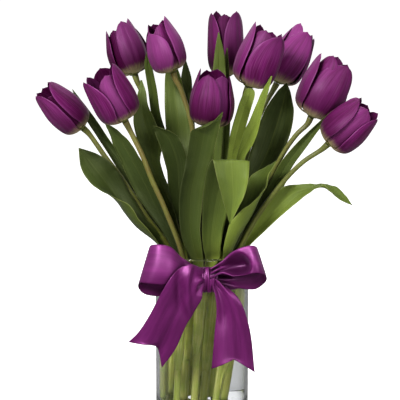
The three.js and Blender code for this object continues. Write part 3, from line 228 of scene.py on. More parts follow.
# a leaf's stalk, tone and course (partly painted shade and painted light), and its rows of left edge, right
# edge and how far the rib stands out
LEAVES = {
    "left_broad": ("a", 0.35, ((-0.4, -0.35, -0.55, -0.55), -0.55), [
        (-37.8, -5, 153.4, -33.8, 2, 155.3, -2), (-44.7, -13, 168.2, -38.8, -3, 168.6, -5),
        (-63.4, -30, 194.6, -54.8, -12, 189.7, -10), (-75.2, -35, 212.7, -68.8, -15, 213.8, -12),
        (-100.1, -36, 225, -80.8, -17, 236.5, -8), (-115.1, -34, 236.8, -89.6, -20, 249.1, -4),
        (-122.2, -31, 250.6, -103.6, -22, 259.5, -2), (-123.8, -27, 267.2, -122.4, -26, 267.1, 0)]),
    "left_narrow": ("a", 0.2, ((-0.35, -0.35, -0.2), 0), [
        (-37, 10, 154.9, -29.9, 12, 153.5, -2), (-53.5, 14, 181.4, -41.2, 16, 177.9, -3),
        (-73.9, 14.6, 218.7, -59.6, 17, 217.3, -3), (-92.1, 13.4, 249.9, -76.8, 14.6, 246.6, -3),
        (-106.5, 17.1, 272.1, -93.2, 16.9, 268, -3), (-119.9, 21.1, 292.3, -107.5, 19.4, 289.4, -2),
        (-129.2, 25.3, 311.4, -118.9, 23.3, 304.4, -1), (-133.3, 27.2, 321.5, -132.3, 27.2, 321, 0)]),
    "back_left": ("a", 0.3, PLAIN, [
        (-39.1, 10, 157, -32, 18, 154.5, -2), (-55.9, 29.1, 190.4, -39.4, 33.2, 186.6, -3),
        (-68.7, 44.6, 214.4, -50.1, 50.4, 211.4, -3), (-81.8, 60.8, 231.1, -65.2, 66.8, 230.3, -2),
        (-87.5, 74.2, 242.1, -85.4, 75.2, 242, 0)]),
    "front_left": ("b", 0.15, ((-0.75, -0.75, -0.2, 0.15), 0), [
        (-28.3, -26, 159.2, -20.2, -30, 158.9, -2), (-41.4, -26, 184.8, -24.2, -34, 178, -3),
        (-58.5, -25, 209.1, -37.2, -34, 204.4, -4), (-69.5, -25, 226.4, -45.1, -35, 226.9, -4),
        (-80.3, -28, 250.2, -57.9, -37, 250.3, -3), (-89, -32, 270.9, -69.8, -39, 270.7, -2),
        (-93.7, -35, 286.3, -82.6, -40, 285.8, -1), (-97.1, -37, 293.5, -95.5, -38, 293.6, 0)]),
    "back_narrow": ("c", 0.35, PLAIN, [
        (-15.6, 30, 153.5, -6.2, 29, 153.6, -2), (-24.9, 33.2, 186.6, -12.4, 32.1, 186.8, -2),
        (-35.2, 35.8, 231.3, -23.8, 35.8, 231.3, -2), (-43.4, 36.4, 262.6, -33.1, 36.6, 264.6, -2),
        (-51.4, 30.2, 291.3, -42.2, 30.3, 293.4, -2), (-55.3, 24, 320.8, -46.1, 24, 320.8, -2),
        (-58.6, 17.6, 346.9, -50.9, 17.6, 345.9, -1), (-55.3, 12.8, 363.5, -53.8, 12.8, 363.5, 0)]),
    "left_dark": ("c", 0.4, PLAIN, [
        (-19.6, 19, 153.3, -9.3, 18, 154.5, -2), (-34, 17.7, 188.1, -19.5, 15.6, 190.5, -3),
        (-50.2, 10, 227.6, -37.8, 7.6, 232.1, -3), (-58.2, 7.9, 245.5, -42.5, 6.7, 249.7, -3),
        (-66.2, 7.1, 271.3, -40.5, 5.6, 269.4, -4), (-69.8, 9, 289.5, -47.5, 7.5, 289.7, -3),
        (-68.3, 14, 306.4, -55, 12.5, 306.5, -2), (-65.4, 20.8, 319, -57.2, 19.2, 319.2, -1),
        (-63, 25.6, 330.9, -61.4, 25.6, 330.9, 0)]),
    "back_centre": ("c", 0.3, PLAIN, [
        (-16.6, 30, 153.5, -6.2, 32, 154.2, -2), (-29.3, 52.2, 192.1, -10.4, 54.2, 191.8, -3),
        (-35.8, 71.8, 221.1, -14.7, 73.8, 220.8, -3), (-33.9, 88.4, 242.4, -16.9, 90.4, 242.1, -2),
        (-28.7, 102.2, 256.8, -26.6, 102.2, 256.8, 0)]),
    "light_tall": ("d", 0.6, ((-0.5, -0.5, -0.2, 0.1), 0), [
        (-12.3, 7, 157.5, 0, 7, 157.5, -2), (-22.5, 6.7, 194, -5.1, 7.8, 193.8, -3),
        (-30.7, 11.5, 234.7, -8.2, 11.5, 234.7, -3), (-35.9, 21.3, 269.6, -9.2, 21.3, 269.6, -4),
        (-38, 25.8, 294.9, -12.3, 26, 296.9, -3), (-38.5, 32, 318, -18.5, 32, 320, -3),
        (-37.5, 36.8, 337.1, -23.6, 36.8, 338.2, -2), (-32.9, 41.6, 352.2, -31.4, 41.6, 352.2, 0)]),
    "right_dark": ("d", 0.12, PLAIN, [
        (-8.2, 12, 156.6, 2.1, 12, 156.6, -2), (-14.4, 17.9, 192.2, -2, 17.9, 192.2, -2),
        (-18.5, 26, 237.9, -5.1, 26, 237.9, -2), (-20.6, 30.7, 278.8, -7.2, 30.8, 280.9, -2),
        (-21.6, 34.8, 309.5, -9.8, 35.1, 313.6, -2), (-21.6, 35.2, 332.1, -10.8, 35.2, 332.1, -1),
        (-18, 35.2, 350.6, -16.4, 35.2, 350.6, 0)]),
    "bent_tip": ("d", 0.25, ((-0.65, -0.6, -0.35), 0), [
        (-16.3, -8, 160.1, -5.1, -10, 160.5, -2), (-24.4, -12, 189.7, -10.2, -14, 190, -3),
        (-33.4, -15, 220.9, -14.2, -17, 221.2, -4), (-36.3, -17, 248.7, -14.1, -18, 248.9, -4),
        (-42.3, -19, 268.3, -20.1, -19, 270.3, -3), (-47.2, -21, 281.7, -30.2, -21, 282.7, -2),
        (-50.2, -23, 288.9, -49.2, -23, 289.4, 0)]),
    "front_tall": ("e", 0.4, ((-0.1, -0.4, -0.6, -0.6, -0.4, -0.2), 0.5), [
        (-9.1, -39, 153.3, 1, -39, 153.3, -2), (-16.1, -43, 167.3, 0, -43, 167.3, -3),
        (-21.5, -48, 187.4, -2, -47, 187.3, -4), (-22.9, -52, 213.2, -0.1, -50, 212.9, -4),
        (-21.4, -54, 230.6, 1.9, -53, 230.5, -4), (-17.9, -56, 246.9, 6.4, -56, 247.9, -4),
        (-14.9, -57, 263.9, 10.8, -59, 264.2, -4), (-12.4, -61, 279.3, 14.6, -66, 281.9, -4),
        (-9.9, -66, 288.8, 17.5, -75, 295.7, -3), (4.8, -74, 293.6, 19.3, -81, 304.2, -1),
        (19.3, -84, 308.9, 20.3, -84, 309.4, 0)]),
    "folded": ("e", 0.7, ((0.6, 0.1, -0.45, -0.45, -0.15, -0.15, -0.1), 0.6), [
        (4, -37, 154, 17.1, -33, 154.3, -3), (1, -41, 169, 19.1, -37, 170.3, -3),
        (0, -45, 186.9, 22, -42, 189.5, -3), (0.4, -50, 210.9, 27.8, -49, 214.8, -3),
        (1.9, -54, 231.6, 35.6, -54, 235.6, -3), (4.9, -59, 249.3, 43.4, -59, 250.3, -2),
        (8.3, -64, 257.9, 45.7, -64, 257.9, -1), (10.7, -69, 259, 46.5, -69, 258.5, 0),
        (14.1, -73, 245.2, 45.5, -73, 243.2, 2), (19.1, -74, 226.5, 41.6, -75, 226.7, 3),
        (23.5, -73, 210.5, 34.3, -74, 211.6, 2), (27, -71, 197.2, 28, -71, 197.2, 0)]),
    "tip_left": ("f", 0.5, PLAIN, [
        (2.1, 20, 155.2, 11.4, 19, 155.4, -2), (3.1, 15.7, 192.5, 16.5, 14.6, 192.7, -2),
        (5.1, 12.8, 234.5, 18.5, 12.8, 234.5, -2), (7.2, 14.6, 280.7, 21.5, 14.6, 280.7, -2),
        (9.2, 17.6, 316.3, 24.5, 17.6, 316.3, -2), (10.7, 19.2, 335.5, 24.5, 19.2, 335.5, -2),
        (12.7, 20.8, 356.9, 22.9, 20.8, 356.9, -1), (16.3, 22.4, 379.7, 17.5, 22.4, 379.7, 0)]),
    "tip_right": ("f", 0.6, PLAIN, [
        (6.2, 22, 154.9, 15.5, 20, 155.2, -2), (10.3, 20.2, 191.8, 21.7, 19, 192, -2),
        (14.4, 20.5, 233.4, 25.7, 19.2, 233.6, -2), (17.5, 23.4, 279.7, 28.8, 23.4, 279.7, -2),
        (18.5, 27.2, 315.3, 29.8, 27.2, 315.3, -2), (19, 28.8, 334.7, 28.2, 28.8, 334.7, -1),
        (25.4, 30.4, 363.3, 26.4, 30.4, 363.3, 0)]),
    "back": ("f", 0.3, PLAIN, [
        (2.1, 33, 152.9, 12.5, 34, 152.8, -2), (1.1, 53.6, 186.6, 20, 53.6, 186.6, -3),
        (4.3, 73.8, 220.8, 27.5, 73.8, 220.8, -3), (10.7, 91.4, 250.6, 29.9, 91.4, 250.6, -2),
        (19.3, 105.8, 270.3, 21.5, 105.8, 270.3, 0)]),
    "blade_left": ("g", 0.95, ((0.3, 0.6, 0.6, 0.3), 0), [
        (7.1, -13, 159, 17.3, -16, 159.5, -2), (12.1, -16, 190.3, 24.3, -18, 192.7, -2),
        (18.2, -18, 223.4, 30.2, -20, 225.7, -2), (25.1, -20, 254.2, 34.2, -22, 254.5, -2),
        (28.1, -21, 279.6, 41.1, -23, 278.9, -2), (35, -21, 304.8, 48.5, -23, 304, -2),
        (41, -20, 320.8, 53, -22, 321, -1), (45.5, -20, 326.9, 50, -20, 327.4, 0)]),
    "blade_right": ("g", 0.9, ((0.3, 0.6, 0.5, 0.15), 0), [
        (12.3, -3, 157.2, 22.4, -8, 159.1, -2), (19.3, -9, 193.3, 32.4, -14, 197.2, -2),
        (24.3, -14, 227.9, 38.3, -18, 231.6, -2), (29.2, -18, 253.9, 43.2, -22, 256.5, -2),
        (36.2, -20, 271.4, 51.6, -25, 272, -2), (45.1, -22, 288.8, 57, -27, 288.4, -2),
        (52, -24, 305.2, 60.9, -28, 305.6, -2), (58.8, -27, 322.5, 65.8, -29, 322.7, -1),
        (68.6, -31, 339.8, 69.9, -31, 339.8, 0)]),
    "right_broad": ("h", 0.08, PLAIN, [
        (22.7, 16, 155.9, 33, 12, 157.7, -2), (35, 18.4, 200.5, 50.4, 13.9, 203.2, -3),
        (42.2, 20.3, 230.4, 64.7, 15.3, 233.1, -4), (49.4, 23.3, 256.9, 81, 16.3, 253.7, -5),
        (57.6, 26.6, 283.4, 91.1, 17.5, 279.3, -5), (65.8, 27.9, 301.9, 94.1, 18.4, 298.7, -4),
        (76.9, 25.6, 318.6, 91.5, 19.1, 314.1, -2), (85.7, 19.2, 328.4, 86.8, 19.2, 328.4, 0)]),
    "back_right": ("h", 0.2, PLAIN, [
        (24.9, 25, 154.3, 35.2, 22, 157, -2), (37.7, 46.2, 193, 56.4, 44.4, 195.4, -3),
        (50.6, 66, 224, 73.7, 64, 224.3, -3), (63.6, 83.4, 251.6, 84.8, 83.2, 249.5, -3),
        (75.8, 99.8, 271, 79, 99.8, 271, 0)]),
    "right_narrow": ("i", 0.35, PLAIN, [
        (34.9, 4, 156, 41.9, -6, 157.7, -2), (48.9, -6, 194.9, 61, -10, 192.5, -3),
        (65.8, -13, 225.7, 77.8, -16, 223.1, -3), (79.5, -20, 252.2, 91.5, -22, 248.4, -3),
        (94.1, -27, 271.3, 106.1, -29, 270.5, -3), (106.8, -31, 284.8, 115.7, -33, 285, -2),
        (118.4, -36, 296.4, 123.3, -37, 294.5, -1), (130.3, -42, 307.5, 131.3, -42, 307, 0)]),
    "back_side": ("i", 0.3, PLAIN, [
        (37, 8, 157.3, 42, 2, 158.4, -2), (55.7, 18, 193.2, 67.7, 8.9, 192.6, -3),
        (68.5, 36.6, 215.5, 82.8, 29.1, 214.5, -3), (81.6, 53, 234.3, 91.8, 48.8, 232.7, -2),
        (89.3, 64.4, 245.5, 91.4, 64.4, 245.5, 0)]),
    "front_folded": ("j", 0.5, ((0.3, 0.15, 0.0, 0.0), 0.4), [
        (27.3, -22, 160.5, 21.1, -36, 161, -5), (31.3, -22, 181.1, 25.9, -44, 186.8, -10),
        (36.3, -22, 201.5, 33.8, -48, 202.6, -13), (42.3, -23, 224.1, 47.7, -49, 214.8, -13),
        (51.2, -25, 240.7, 61.6, -48, 227.7, -8), (64.1, -31, 249.6, 66.6, -46, 241.5, -3),
        (73.2, -40, 255.8, 74.2, -40, 255.3, 0)]),
    "right_drooping": ("j", 0.62, ((0.6, 0.5, 0.05, 0.0, 0.0), 0), [
        (34.4, -23, 158.7, 40.7, -12, 157.7, -3), (42.4, -24, 172.2, 50.6, -20, 169.4, -4),
        (53.4, -26, 190.9, 70.5, -28, 190.2, -5), (66.4, -27, 211.5, 86.2, -34, 205.4, -5),
        (79.3, -29, 227, 99, -38, 217.2, -5), (94.2, -31, 231.4, 107.8, -41, 224.7, -4),
        (109.1, -33, 232.6, 116.6, -43, 230, -3), (121.1, -34, 231.8, 122.4, -45, 230.8, -2),
        (133.1, -35, 228.9, 128.5, -45, 224.3, -2), (143, -37, 221.1, 139.7, -42, 215.8, -1),
        (150, -39, 211.8, 151, -39, 210.8, 0)]),
}
# the ribbon's left and right edge, from the knot outwards
LOOP_LEFT = [
    (0.9, -59, 150.9, 0.9, -59, 137.8), (-10, -62, 155.5, -12, -64, 136.7),
    (-19.9, -64, 162.9, -23.8, -69, 136.7), (-29.7, -68, 173.2, -37.6, -74, 137.1),
    (-41.5, -70, 176.5, -51.4, -76, 138.5), (-50.1, -64, 175, -62, -68, 137.5),
    (-51.8, -57, 170.8, -62.8, -58, 129.5), (-44.9, -53, 166, -55, -54, 122.6),
    (-30, -52, 159.8, -36, -53, 121.4), (-14, -53, 151.8, -18, -54, 127.7), (2, -54, 147, 2, -54, 135.8),
]
LOOP_RIGHT = [
    (8.9, -60, 151.1, 8.9, -60, 140), (18.8, -62, 157.5, 19.8, -65, 146),
    (27.7, -64, 166.5, 31.6, -70, 144.9), (37.5, -67, 172.5, 43.3, -76, 147.6),
    (47.4, -69, 175.3, 55.1, -79, 149.6), (53.9, -65, 173.2, 63.2, -71, 145.1),
    (54.7, -56, 166.6, 63.2, -58, 136.6), (47.8, -52, 161.8, 53.9, -53, 128.5),
    (35.9, -52, 157.7, 41.9, -52.5, 128.4), (23.9, -53, 151.8, 27.9, -53, 131.5),
    (8.9, -54, 147, 9.9, -54, 136.8),
]
TAIL_LEFT = [
    (-1, -60, 151.1, 3.9, -60, 133.9), (-11.9, -71, 156.7, 0.9, -66, 129),
    (-26.7, -79, 149.6, -0.1, -70, 120.7), (-38.5, -81, 133, -7, -71, 107.8),
    (-51.5, -76, 107.8, -16, -69, 93.2), (-62.7, -70, 89.3, -27, -66, 69.1),
    (-73.5, -66, 77.6, -40.3, -64, 50.4),
]
TAIL_RIGHT = [
    (6.9, -59, 139.8, 14.9, -59, 136.8), (10.4, -63, 134.5, 24.8, -61, 131.1),
    (13.4, -66, 122.9, 35.8, -62, 120.1), (14.4, -67, 106.9, 43.3, -62, 102.8),
    (11.9, -66, 84.4, 48.4, -61, 81.2), (9, -63, 51, 52.1, -60, 47.2),
]


def unit(v):
    return v / np.linalg.norm(v)


def bell(x, at, width):
    return math.exp(-((x - at) / width) ** 2)


def ease(low, high, x):
    t = min(max((x - low) / (high - low), 0), 1)
    return t * t * (3 - 2 * t)


def seeded(seed):
    """A small seeded random draw, the same on every run and in the part."""
    state = seed & 0xffffffff

    def draw():
        nonlocal state
        state = (state + 0x6d2b79f5) & 0xffffffff
        t = ((state ^ (state >> 15)) * (state | 1)) & 0xffffffff
        t ^= (t + (((t ^ (t >> 7)) * (t | 61)) & 0xffffffff)) & 0xffffffff
        return (t ^ (t >> 14)) / 4294967296

    return draw


def through(xs, ys):
    """A smooth curve through values given at stated steps."""
    xs, ys = np.asarray(xs, float), np.asarray(ys, float)
    last = len(xs) - 1
    slope = []
    for i in range(last + 1):
        a, b = max(i - 1, 0), min(i + 1, last)
        slope.append((ys[b] - ys[a]) / (xs[b] - xs[a]))

    def at(x):
        i = int(np.clip(np.searchsorted(xs, x) - 1, 0, last - 1))
        h = xs[i + 1] - xs[i]
        t = min(max((x - xs[i]) / h, 0), 1)
        t2, t3 = t * t, t * t * t
        start = ys[i] * (2 * t3 - 3 * t2 + 1) + slope[i] * h * (t3 - 2 * t2 + t)
        end = ys[i + 1] * (3 * t2 - 2 * t3) + slope[i + 1] * h * (t3 - t2)
        return start + end

    return at


def edges(rows):
    """The left and the right edge of a blade, each as a curve through its rows."""
    return [through(range(len(rows)), [row[k:k + 3] for row in rows]) for k in (0, 3)]


def station(left, right, u, last):
    """One place on a blade: its left edge, the way across and the normal."""
    ahead, behind = min(u + 0.2, last), max(u - 0.2, 0)
    up = left(ahead) + right(ahead) - left(behind) - right(behind)
    across = right(u) - left(u)
    return left(u), across, unit(np.cross(across, up))


def steps_of(line):
    return np.linalg.norm(np.diff(line, axis=0), axis=1)


def length_of(line):
    return float(np.sum(steps_of(line)))


def grid_of(row_at, along, columns):
    """A grid of points; row_at gives for each share of the length a function from edge to edge."""
    grid = []
    for i in range(along + 1):
        point = row_at(i / along)
        grid.append([point(v) for v in np.linspace(-1, 1, columns)])
    return np.array(grid)


class Build:
    """Collects blades, rods and lathes into one mesh with its marks for the materials."""

    def __init__(self, *materials):
        self.materials = materials
        self.points = []
        self.uv = []
        self.faces = []
        self.slots = []
        self.marks = {"tone": [], "inner": [], "fade": []}

    def _add(self, points, uv, tone, inner=0.0, colour_and_light_course=PLAIN):
        start = len(self.points)
        self.points.extend(points)
        self.uv.extend(uv)
        steps, slope = colour_and_light_course
        flat = np.asarray(uv, float)
        fade = np.interp(flat[:, 1], np.linspace(0, 1, len(steps)), steps) + slope * (flat[:, 0] - 0.5)
        self.marks["tone"].extend([tone] * len(points))
        self.marks["inner"].extend([inner] * len(points))
        self.marks["fade"].extend(fade)
        return start

    def _face(self, corners, material):
        self.faces.append(corners)
        self.slots.append(self.materials.index(material))

    def _wall(self, start, rows, sides, material):
        for low in range(start, start + (rows - 1) * sides, sides):
            high = low + sides
            for j in range(sides):
                k = (j + 1) % sides
                self._face((low + j, low + k, high + k, high + j), material)

    def blade(self, grid, thick, material, tone, inner=0.0, colour_and_light_course=PLAIN):
        """A thin blade round a grid of points, thinner towards its edges.

        Inner is 1 where the side that the grid's normals point to is the inner one, and else 0.
        """
        rows, columns = grid.shape[:2]
        normal = np.cross(np.gradient(grid, axis=0), np.gradient(grid, axis=1))
        normal /= np.maximum(np.linalg.norm(normal, axis=2, keepdims=True), 1e-9)
        half = 0.5 * thick * (1 - 0.62 * np.abs(np.linspace(-1, 1, columns)) ** 4)
        half = np.repeat(half[None, :], rows, 0)
        half[-3:] *= np.array([0.85, 0.65, 0.4])[:, None]
        lift = normal * half[..., None]
        uv = [(j / (columns - 1), i / (rows - 1)) for i in range(rows) for j in range(columns)]
        a = self._add((grid + lift).reshape(-1, 3), uv, tone, inner, colour_and_light_course)
        b = self._add((grid - lift).reshape(-1, 3), uv, tone, 1.0 - inner, colour_and_light_course)
        for i in range(rows - 1):
            for j in range(columns - 1):
                c = i * columns + j
                d = c + columns
                self._face((a + c, a + d, a + d + 1, a + c + 1), material)
                self._face((b + c, b + c + 1, b + d + 1, b + d), material)
        last, right = (rows - 1) * columns, columns - 1
        rim = []
        for c in range(0, last, columns):
            rim += [(c, c + columns), (c + columns + right, c + right)]
        for j in range(right):
            rim += [(j + 1, j), (last + j, last + j + 1)]
        for c, d in rim:
            self._face((a + c, b + c, b + d, a + d), material)

    def rings(self, rings, material, tone, span=1.0):
        """Rings of points joined into a closed rod or knob."""
        rings = np.asarray(rings, float)
        rows, sides = rings.shape[:2]
        uv = [(j / sides, span * i / (rows - 1)) for i in range(rows) for j in range(sides)]
        start = self._add(rings.reshape(-1, 3), uv, tone)
        self._wall(start, rows, sides, material)
        end = start + rows * sides
        self._face(tuple(range(start, start + sides))[::-1], material)
        self._face(tuple(range(end - sides, end)), material)

    def lathe(self, profile, sides, material):
        """A profile of radius and height turned round the upright axis; it starts and ends on it."""
        body = profile[1:-1]
        turns = [2 * math.pi * j / sides for j in range(sides)]
        points = [(r * math.cos(a), r * math.sin(a), z) for r, z in body for a in turns]
        uv = [(j / sides, i / len(body)) for i in range(len(body)) for j in range(sides)]
        start = self._add(points, uv, 0.5)
        ends = self._add([(0, 0, profile[0][1]), (0, 0, profile[-1][1])], [(0, 0), (0, 1)], 0.5)
        self._wall(start, len(body), sides, material)
        last = start + (len(body) - 1) * sides
        for j in range(sides):
            k = (j + 1) % sides
            self._face((ends, start + k, start + j), material)
            self._face((ends + 1, last + j, last + k), material)

    def make(self, name):
        mesh = bpy.data.meshes.new(name)
        mesh.from_pydata([tuple(p) for p in np.asarray(self.points, float) * MM], [], self.faces)
        layer = mesh.uv_layers.new(name="along")
        index = np.empty(len(mesh.loops), dtype=np.int32)
        mesh.loops.foreach_get("vertex_index", index)
        layer.data.foreach_set("uv", np.asarray(self.uv, dtype=np.float32)[index].ravel())
        for label, values in self.marks.items():
            mark = mesh.attributes.new(label, "FLOAT", "POINT")
            mark.data.foreach_set("value", np.asarray(values, dtype=np.float32))
        for material in self.materials:
            mesh.materials.append(material)
        mesh.polygons.foreach_set("material_index", np.asarray(self.slots, dtype=np.int32))
        mesh.polygons.foreach_set("use_smooth", [True] * len(mesh.polygons))
        mesh.update()
        obj = bpy.data.objects.new(name, mesh)
        bpy.context.scene.collection.objects.link(obj)
        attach(obj, "root")
        return obj


# Stalks, on the same lines as the part's
def bloom_axis(key):
    base, tip = BLOOMS[key][:2]
    return unit(np.array(tip, float) - np.array(base, float))


def catmull(points, count):
    """An even walk along a centripetal curve through the points."""
    p = [2 * points[0] - points[1], *points, 2 * points[-1] - points[-2]]
    line = []
    for a, b, c, d in zip(p, p[1:], p[2:], p[3:]):
        t0, t1, t2 = (np.linalg.norm(span) ** 0.5 for span in (b - a, c - b, d - c))
        m1 = ((b - a) / t0 - (c - a) / (t0 + t1) + (c - b) / t1) * t1
        m2 = ((c - b) / t1 - (d - b) / (t1 + t2) + (d - c) / t2) * t1
        for t in np.linspace(0, 1, 60, endpoint=False):
            line.append(b + m1 * t + (3 * (c - b) - 2 * m1 - m2) * t * t + (2 * (b - c) + m1 + m2) * t ** 3)
    line = np.array([*line, points[-1]])
    reach = np.concatenate([[0], np.cumsum(steps_of(line))])
    at = np.linspace(0, reach[-1], count)
    return np.stack([np.interp(at, reach, line[:, k]) for k in range(3)], 1)


def stem_line(key, count=200):
    axis = bloom_axis(key)
    base = np.array(BLOOMS[key][0], float)
    foot = np.array([*STEM_FEET[key], VASE_FLOOR + GAP])
    line = [np.array(p, float) for p in STEM_LINES[key]]
    upper = [p for p in line[:-1] if np.linalg.norm(p - base) > NECK_CLEAR]
    neck = [base - NECK_STRAIGHT * axis, base - GAP * axis]
    return catmull([foot, (foot + line[0]) / 2, *upper, *neck], count)


LINES = {key: stem_line(key) for key in STEM_LINES}


def stem_at(key, height):
    line = LINES[key]
    return line[min(int(np.searchsorted(line[:, 2], height)), len(line) - 1)].copy()


def frame_of(axis):
    front = np.array([0.0, -1.0, 0.0])
    front = unit(front - axis * front.dot(axis))
    return front, np.cross(axis, front)


def ring(at, axis, sides, radius):
    """Points round an axis, at the radius that a function gives for each angle."""
    front, side = frame_of(axis)
    points = []
    for j in range(sides):
        a = 2 * math.pi * (j + 0.5) / sides
        points.append(at + front * radius(a) * math.cos(a) + side * radius(a) * math.sin(a))
    return points


def knob(base, axis, levels, sides=20):
    return [ring(base + axis * h, axis, sides, lambda a: r) for h, r in levels]


def add_stem(build, key, tone, seed):
    line = np.vstack([LINES[key][::2], LINES[key][-1]])
    along = np.gradient(line, axis=0)
    along[0] = (0, 0, 1)
    along[-1] = bloom_axis(key)
    phase = seeded(900 + seed)() * ROUND
    rings = []
    for i, (p, way) in enumerate(zip(line, along)):
        t = i / (len(line) - 1)
        radius = STEM_LOW + (STEM_TOP - STEM_LOW) * ease(0.2, 0.9, t) + 0.12 * math.sin(9 * t + phase)
        radius += 0.9 * ease(0.95, 1.0, t)

        def ribbed(a):
            return radius * (1 + 0.03 * math.cos(2 * a + phase + 2 * t) + 0.012 * math.cos(7 * a))

        rings.append(ring(p, unit(way), STEM_SIDES, ribbed))
    build.rings(rings, STEM, tone, length_of(line) / 100)


def sheath_grid(key, seed):
    """The lower leaf's base, wrapped round the stalk and opening upwards."""
    low, high, turn = SHEATHS[key]
    phase = seeded(seed * 7 + 3)() * ROUND

    def row_at(t):
        z = low + (high - low) * t
        p = stem_at(key, z)
        front, side = frame_of(unit(stem_at(key, z + 4) - p))
        radius = STEM_LOW + 0.6 + 0.5 * ease(0.0, 0.2, t) + 1.5 * ease(0.0, 1.0, t) ** 2
        reach = 0.5 + 2.1 * ease(-0.1, 0.45, t) - 0.5 * ease(0.6, 1.0, t)

        def point(v):
            a = math.radians(turn) + v * reach
            r = radius + 0.5 * abs(v) ** 3 * t + 0.12 * math.cos(9 * v + phase)
            return p + front * r * math.cos(a) + side * r * math.sin(a)

        return point

    return grid_of(row_at, 30, 17)


def spare_grid(foot, top, half):
    """A bare leaf base, cupped forwards."""
    foot, top = np.array(foot, float), np.array(top, float)

    def row_at(t):
        middle = foot + (top - foot) * t
        reach = half * (0.75 + 0.45 * t)
        return lambda v: middle + (v * reach, 2.6 * v * v - 0.25 * math.cos(8 * v), 0.6 * math.sin(3 * v))

    return grid_of(row_at, 28, 13)


def torn_grid():
    left, right = edges(TORN)

    def row_at(t):
        u = t * (len(TORN) - 1)
        across = right(u) - left(u)
        return lambda v: left(u) + across * (v + 1) / 2 + (0, -1.6 * math.cos(math.pi * v / 2), 0)

    return grid_of(row_at, 32, 11)


def leaf_grid(stem, rows, seed):
    """A leaf from its clasp on the stalk to its tip, with its keel, waves and ripples."""
    random, extra = seeded(seed), seeded(seed + 500)
    flat = np.array([1, 1, 0])
    left, right = ([np.array(row[k:k + 3], float) for row in rows] for k in (0, 3))
    lowest = (left[0][2] + right[0][2]) / 2
    root = stem_at(stem, lowest - SHEATH_RISE)
    clasp = stem_at(stem, lowest - SHEATH_RISE * 0.55)
    lean = ((left[0] + right[0]) / 2 - stem_at(stem, lowest)) * flat
    lean *= min(6 / max(np.linalg.norm(lean), 1e-9), 1)
    side = unit((right[0] - left[0]) * flat)
    low = [(*(root - side * 2.6), *(root + side * 2.6), 0),
           (*(clasp - side * 4.4 + lean * 0.45), *(clasp + side * 4.4 + lean * 0.45), 0)]
    rows = low + list(rows)
    last = len(rows) - 1
    left, right = edges(rows)
    fold_at = through(range(last + 1), [row[6] for row in rows])
    phase = [random() * ROUND, random() * ROUND]
    waves = 1.5 + random()
    small = [extra() * ROUND for _ in range(4)]

    def row_at(t):
        # closer rows towards the tip, where the outline turns fastest
        u = t ** 0.93 * last
        start, across, normal = station(left, right, u, last)
        free = min(max((u - 2) / 2, 0), 1) * min(np.linalg.norm(across) / 12, 1)
        fold = fold_at(u)

        def point(s):
            k = 0 if s < 0 else 1
            wave = math.sin(waves * ROUND * u / (last + 1) + phase[k])
            ripple = math.sin(5.1 * u + small[k]) * 0.45 + math.sin(9.7 * u + small[2]) * 0.2
            off = fold * (1 - s * s) + LEAF_WAVE * free * wave * abs(s) ** 3
            off += free * ripple * abs(s) ** 2.5
            off += free * 0.16 * math.cos(17 * s + small[3]) * (1 - s * s)
            off += free * (-0.55 if fold < 0 else 0.55) * bell(s, 0, 0.1)
            return start + across * (s + 1) / 2 + normal * off

        return point

    return grid_of(row_at, 64, 15)


def petal_grid(key, petal, inner, phase):
    """One petal; each is given by its angle and shares of the bloom's own size."""
    base, tip, width, mouth = BLOOMS[key][:4]
    axis = bloom_axis(key)
    base = np.array(base, float)
    size = np.linalg.norm(np.array(tip, float) - base) * petal["long"]
    front, side = frame_of(axis)
    angle = math.radians(petal["turn"])
    radius = (width / 2 - 0.45 - (WHORL_STEP if inner else 0)) * petal.get("full", 1)
    sink = petal.get("sink", 1.2 if inner else 0)
    mouth = mouth * petal["mouth"]
    out = through(PETAL_T, [0.13, 0.56, 0.88, 1, 0.99, 0.5 * (0.97 + mouth) + 0.02, mouth])
    high, wide_at = through(PETAL_T, PETAL_HIGH), through(PETAL_WIDE_T, PETAL_WIDE)
    wide = [radius * (1.84 if inner else 1.72) * share / 2 for share in petal.get("wide", (1, 1))]

    def row_at(share):
        t = 1 - (1 - share) ** 1.12
        r = radius * out(t) + petal.get("flare", 0) * ease(0.45, 1, t) - sink * math.sin(math.pi * t)
        h = size * high(t) + (1.8 * (1 - t) ** 3 if inner else 0)
        bend = max(r * 1.03, 6) * (1 + 0.25 * ease(0.6, 1, t))
        middle = math.sin(math.pi * min(t * 1.05, 1))

        def point(s):
            k = 0 if s < 0 else 1
            a = s * wide[k] * wide_at(t) / bend
            rise = petal["lift"][k] * abs(s) ** 3 * middle
            rise += 0.225 * math.sin(7 * t + phase[k]) * abs(s) ** 3 * ease(0.3, 0.7, t)
            # the mid rib is a shallow groove outside, deeper near the tip
            rise -= (0.35 + 0.6 * t) * bell(s, 0, 0.15) * middle
            rise += 0.2 * math.cos(11 * s + phase[2] + 2 * t) * (1 - s * s) * middle
            radial = r - bend + (bend + rise) * math.cos(a)
            sideways = (bend + rise) * math.sin(a) + petal.get("twist", 0) * t * t
            # the tip's margins sit a little lower than its point
            p = base + axis * (h - 0.9 * s * s * ease(0.75, 1, t))
            p = p + front * (radial * math.cos(angle) - sideways * math.sin(angle))
            return p + side * (radial * math.sin(angle) + sideways * math.cos(angle))

        return point

    return grid_of(row_at, 32, 19)


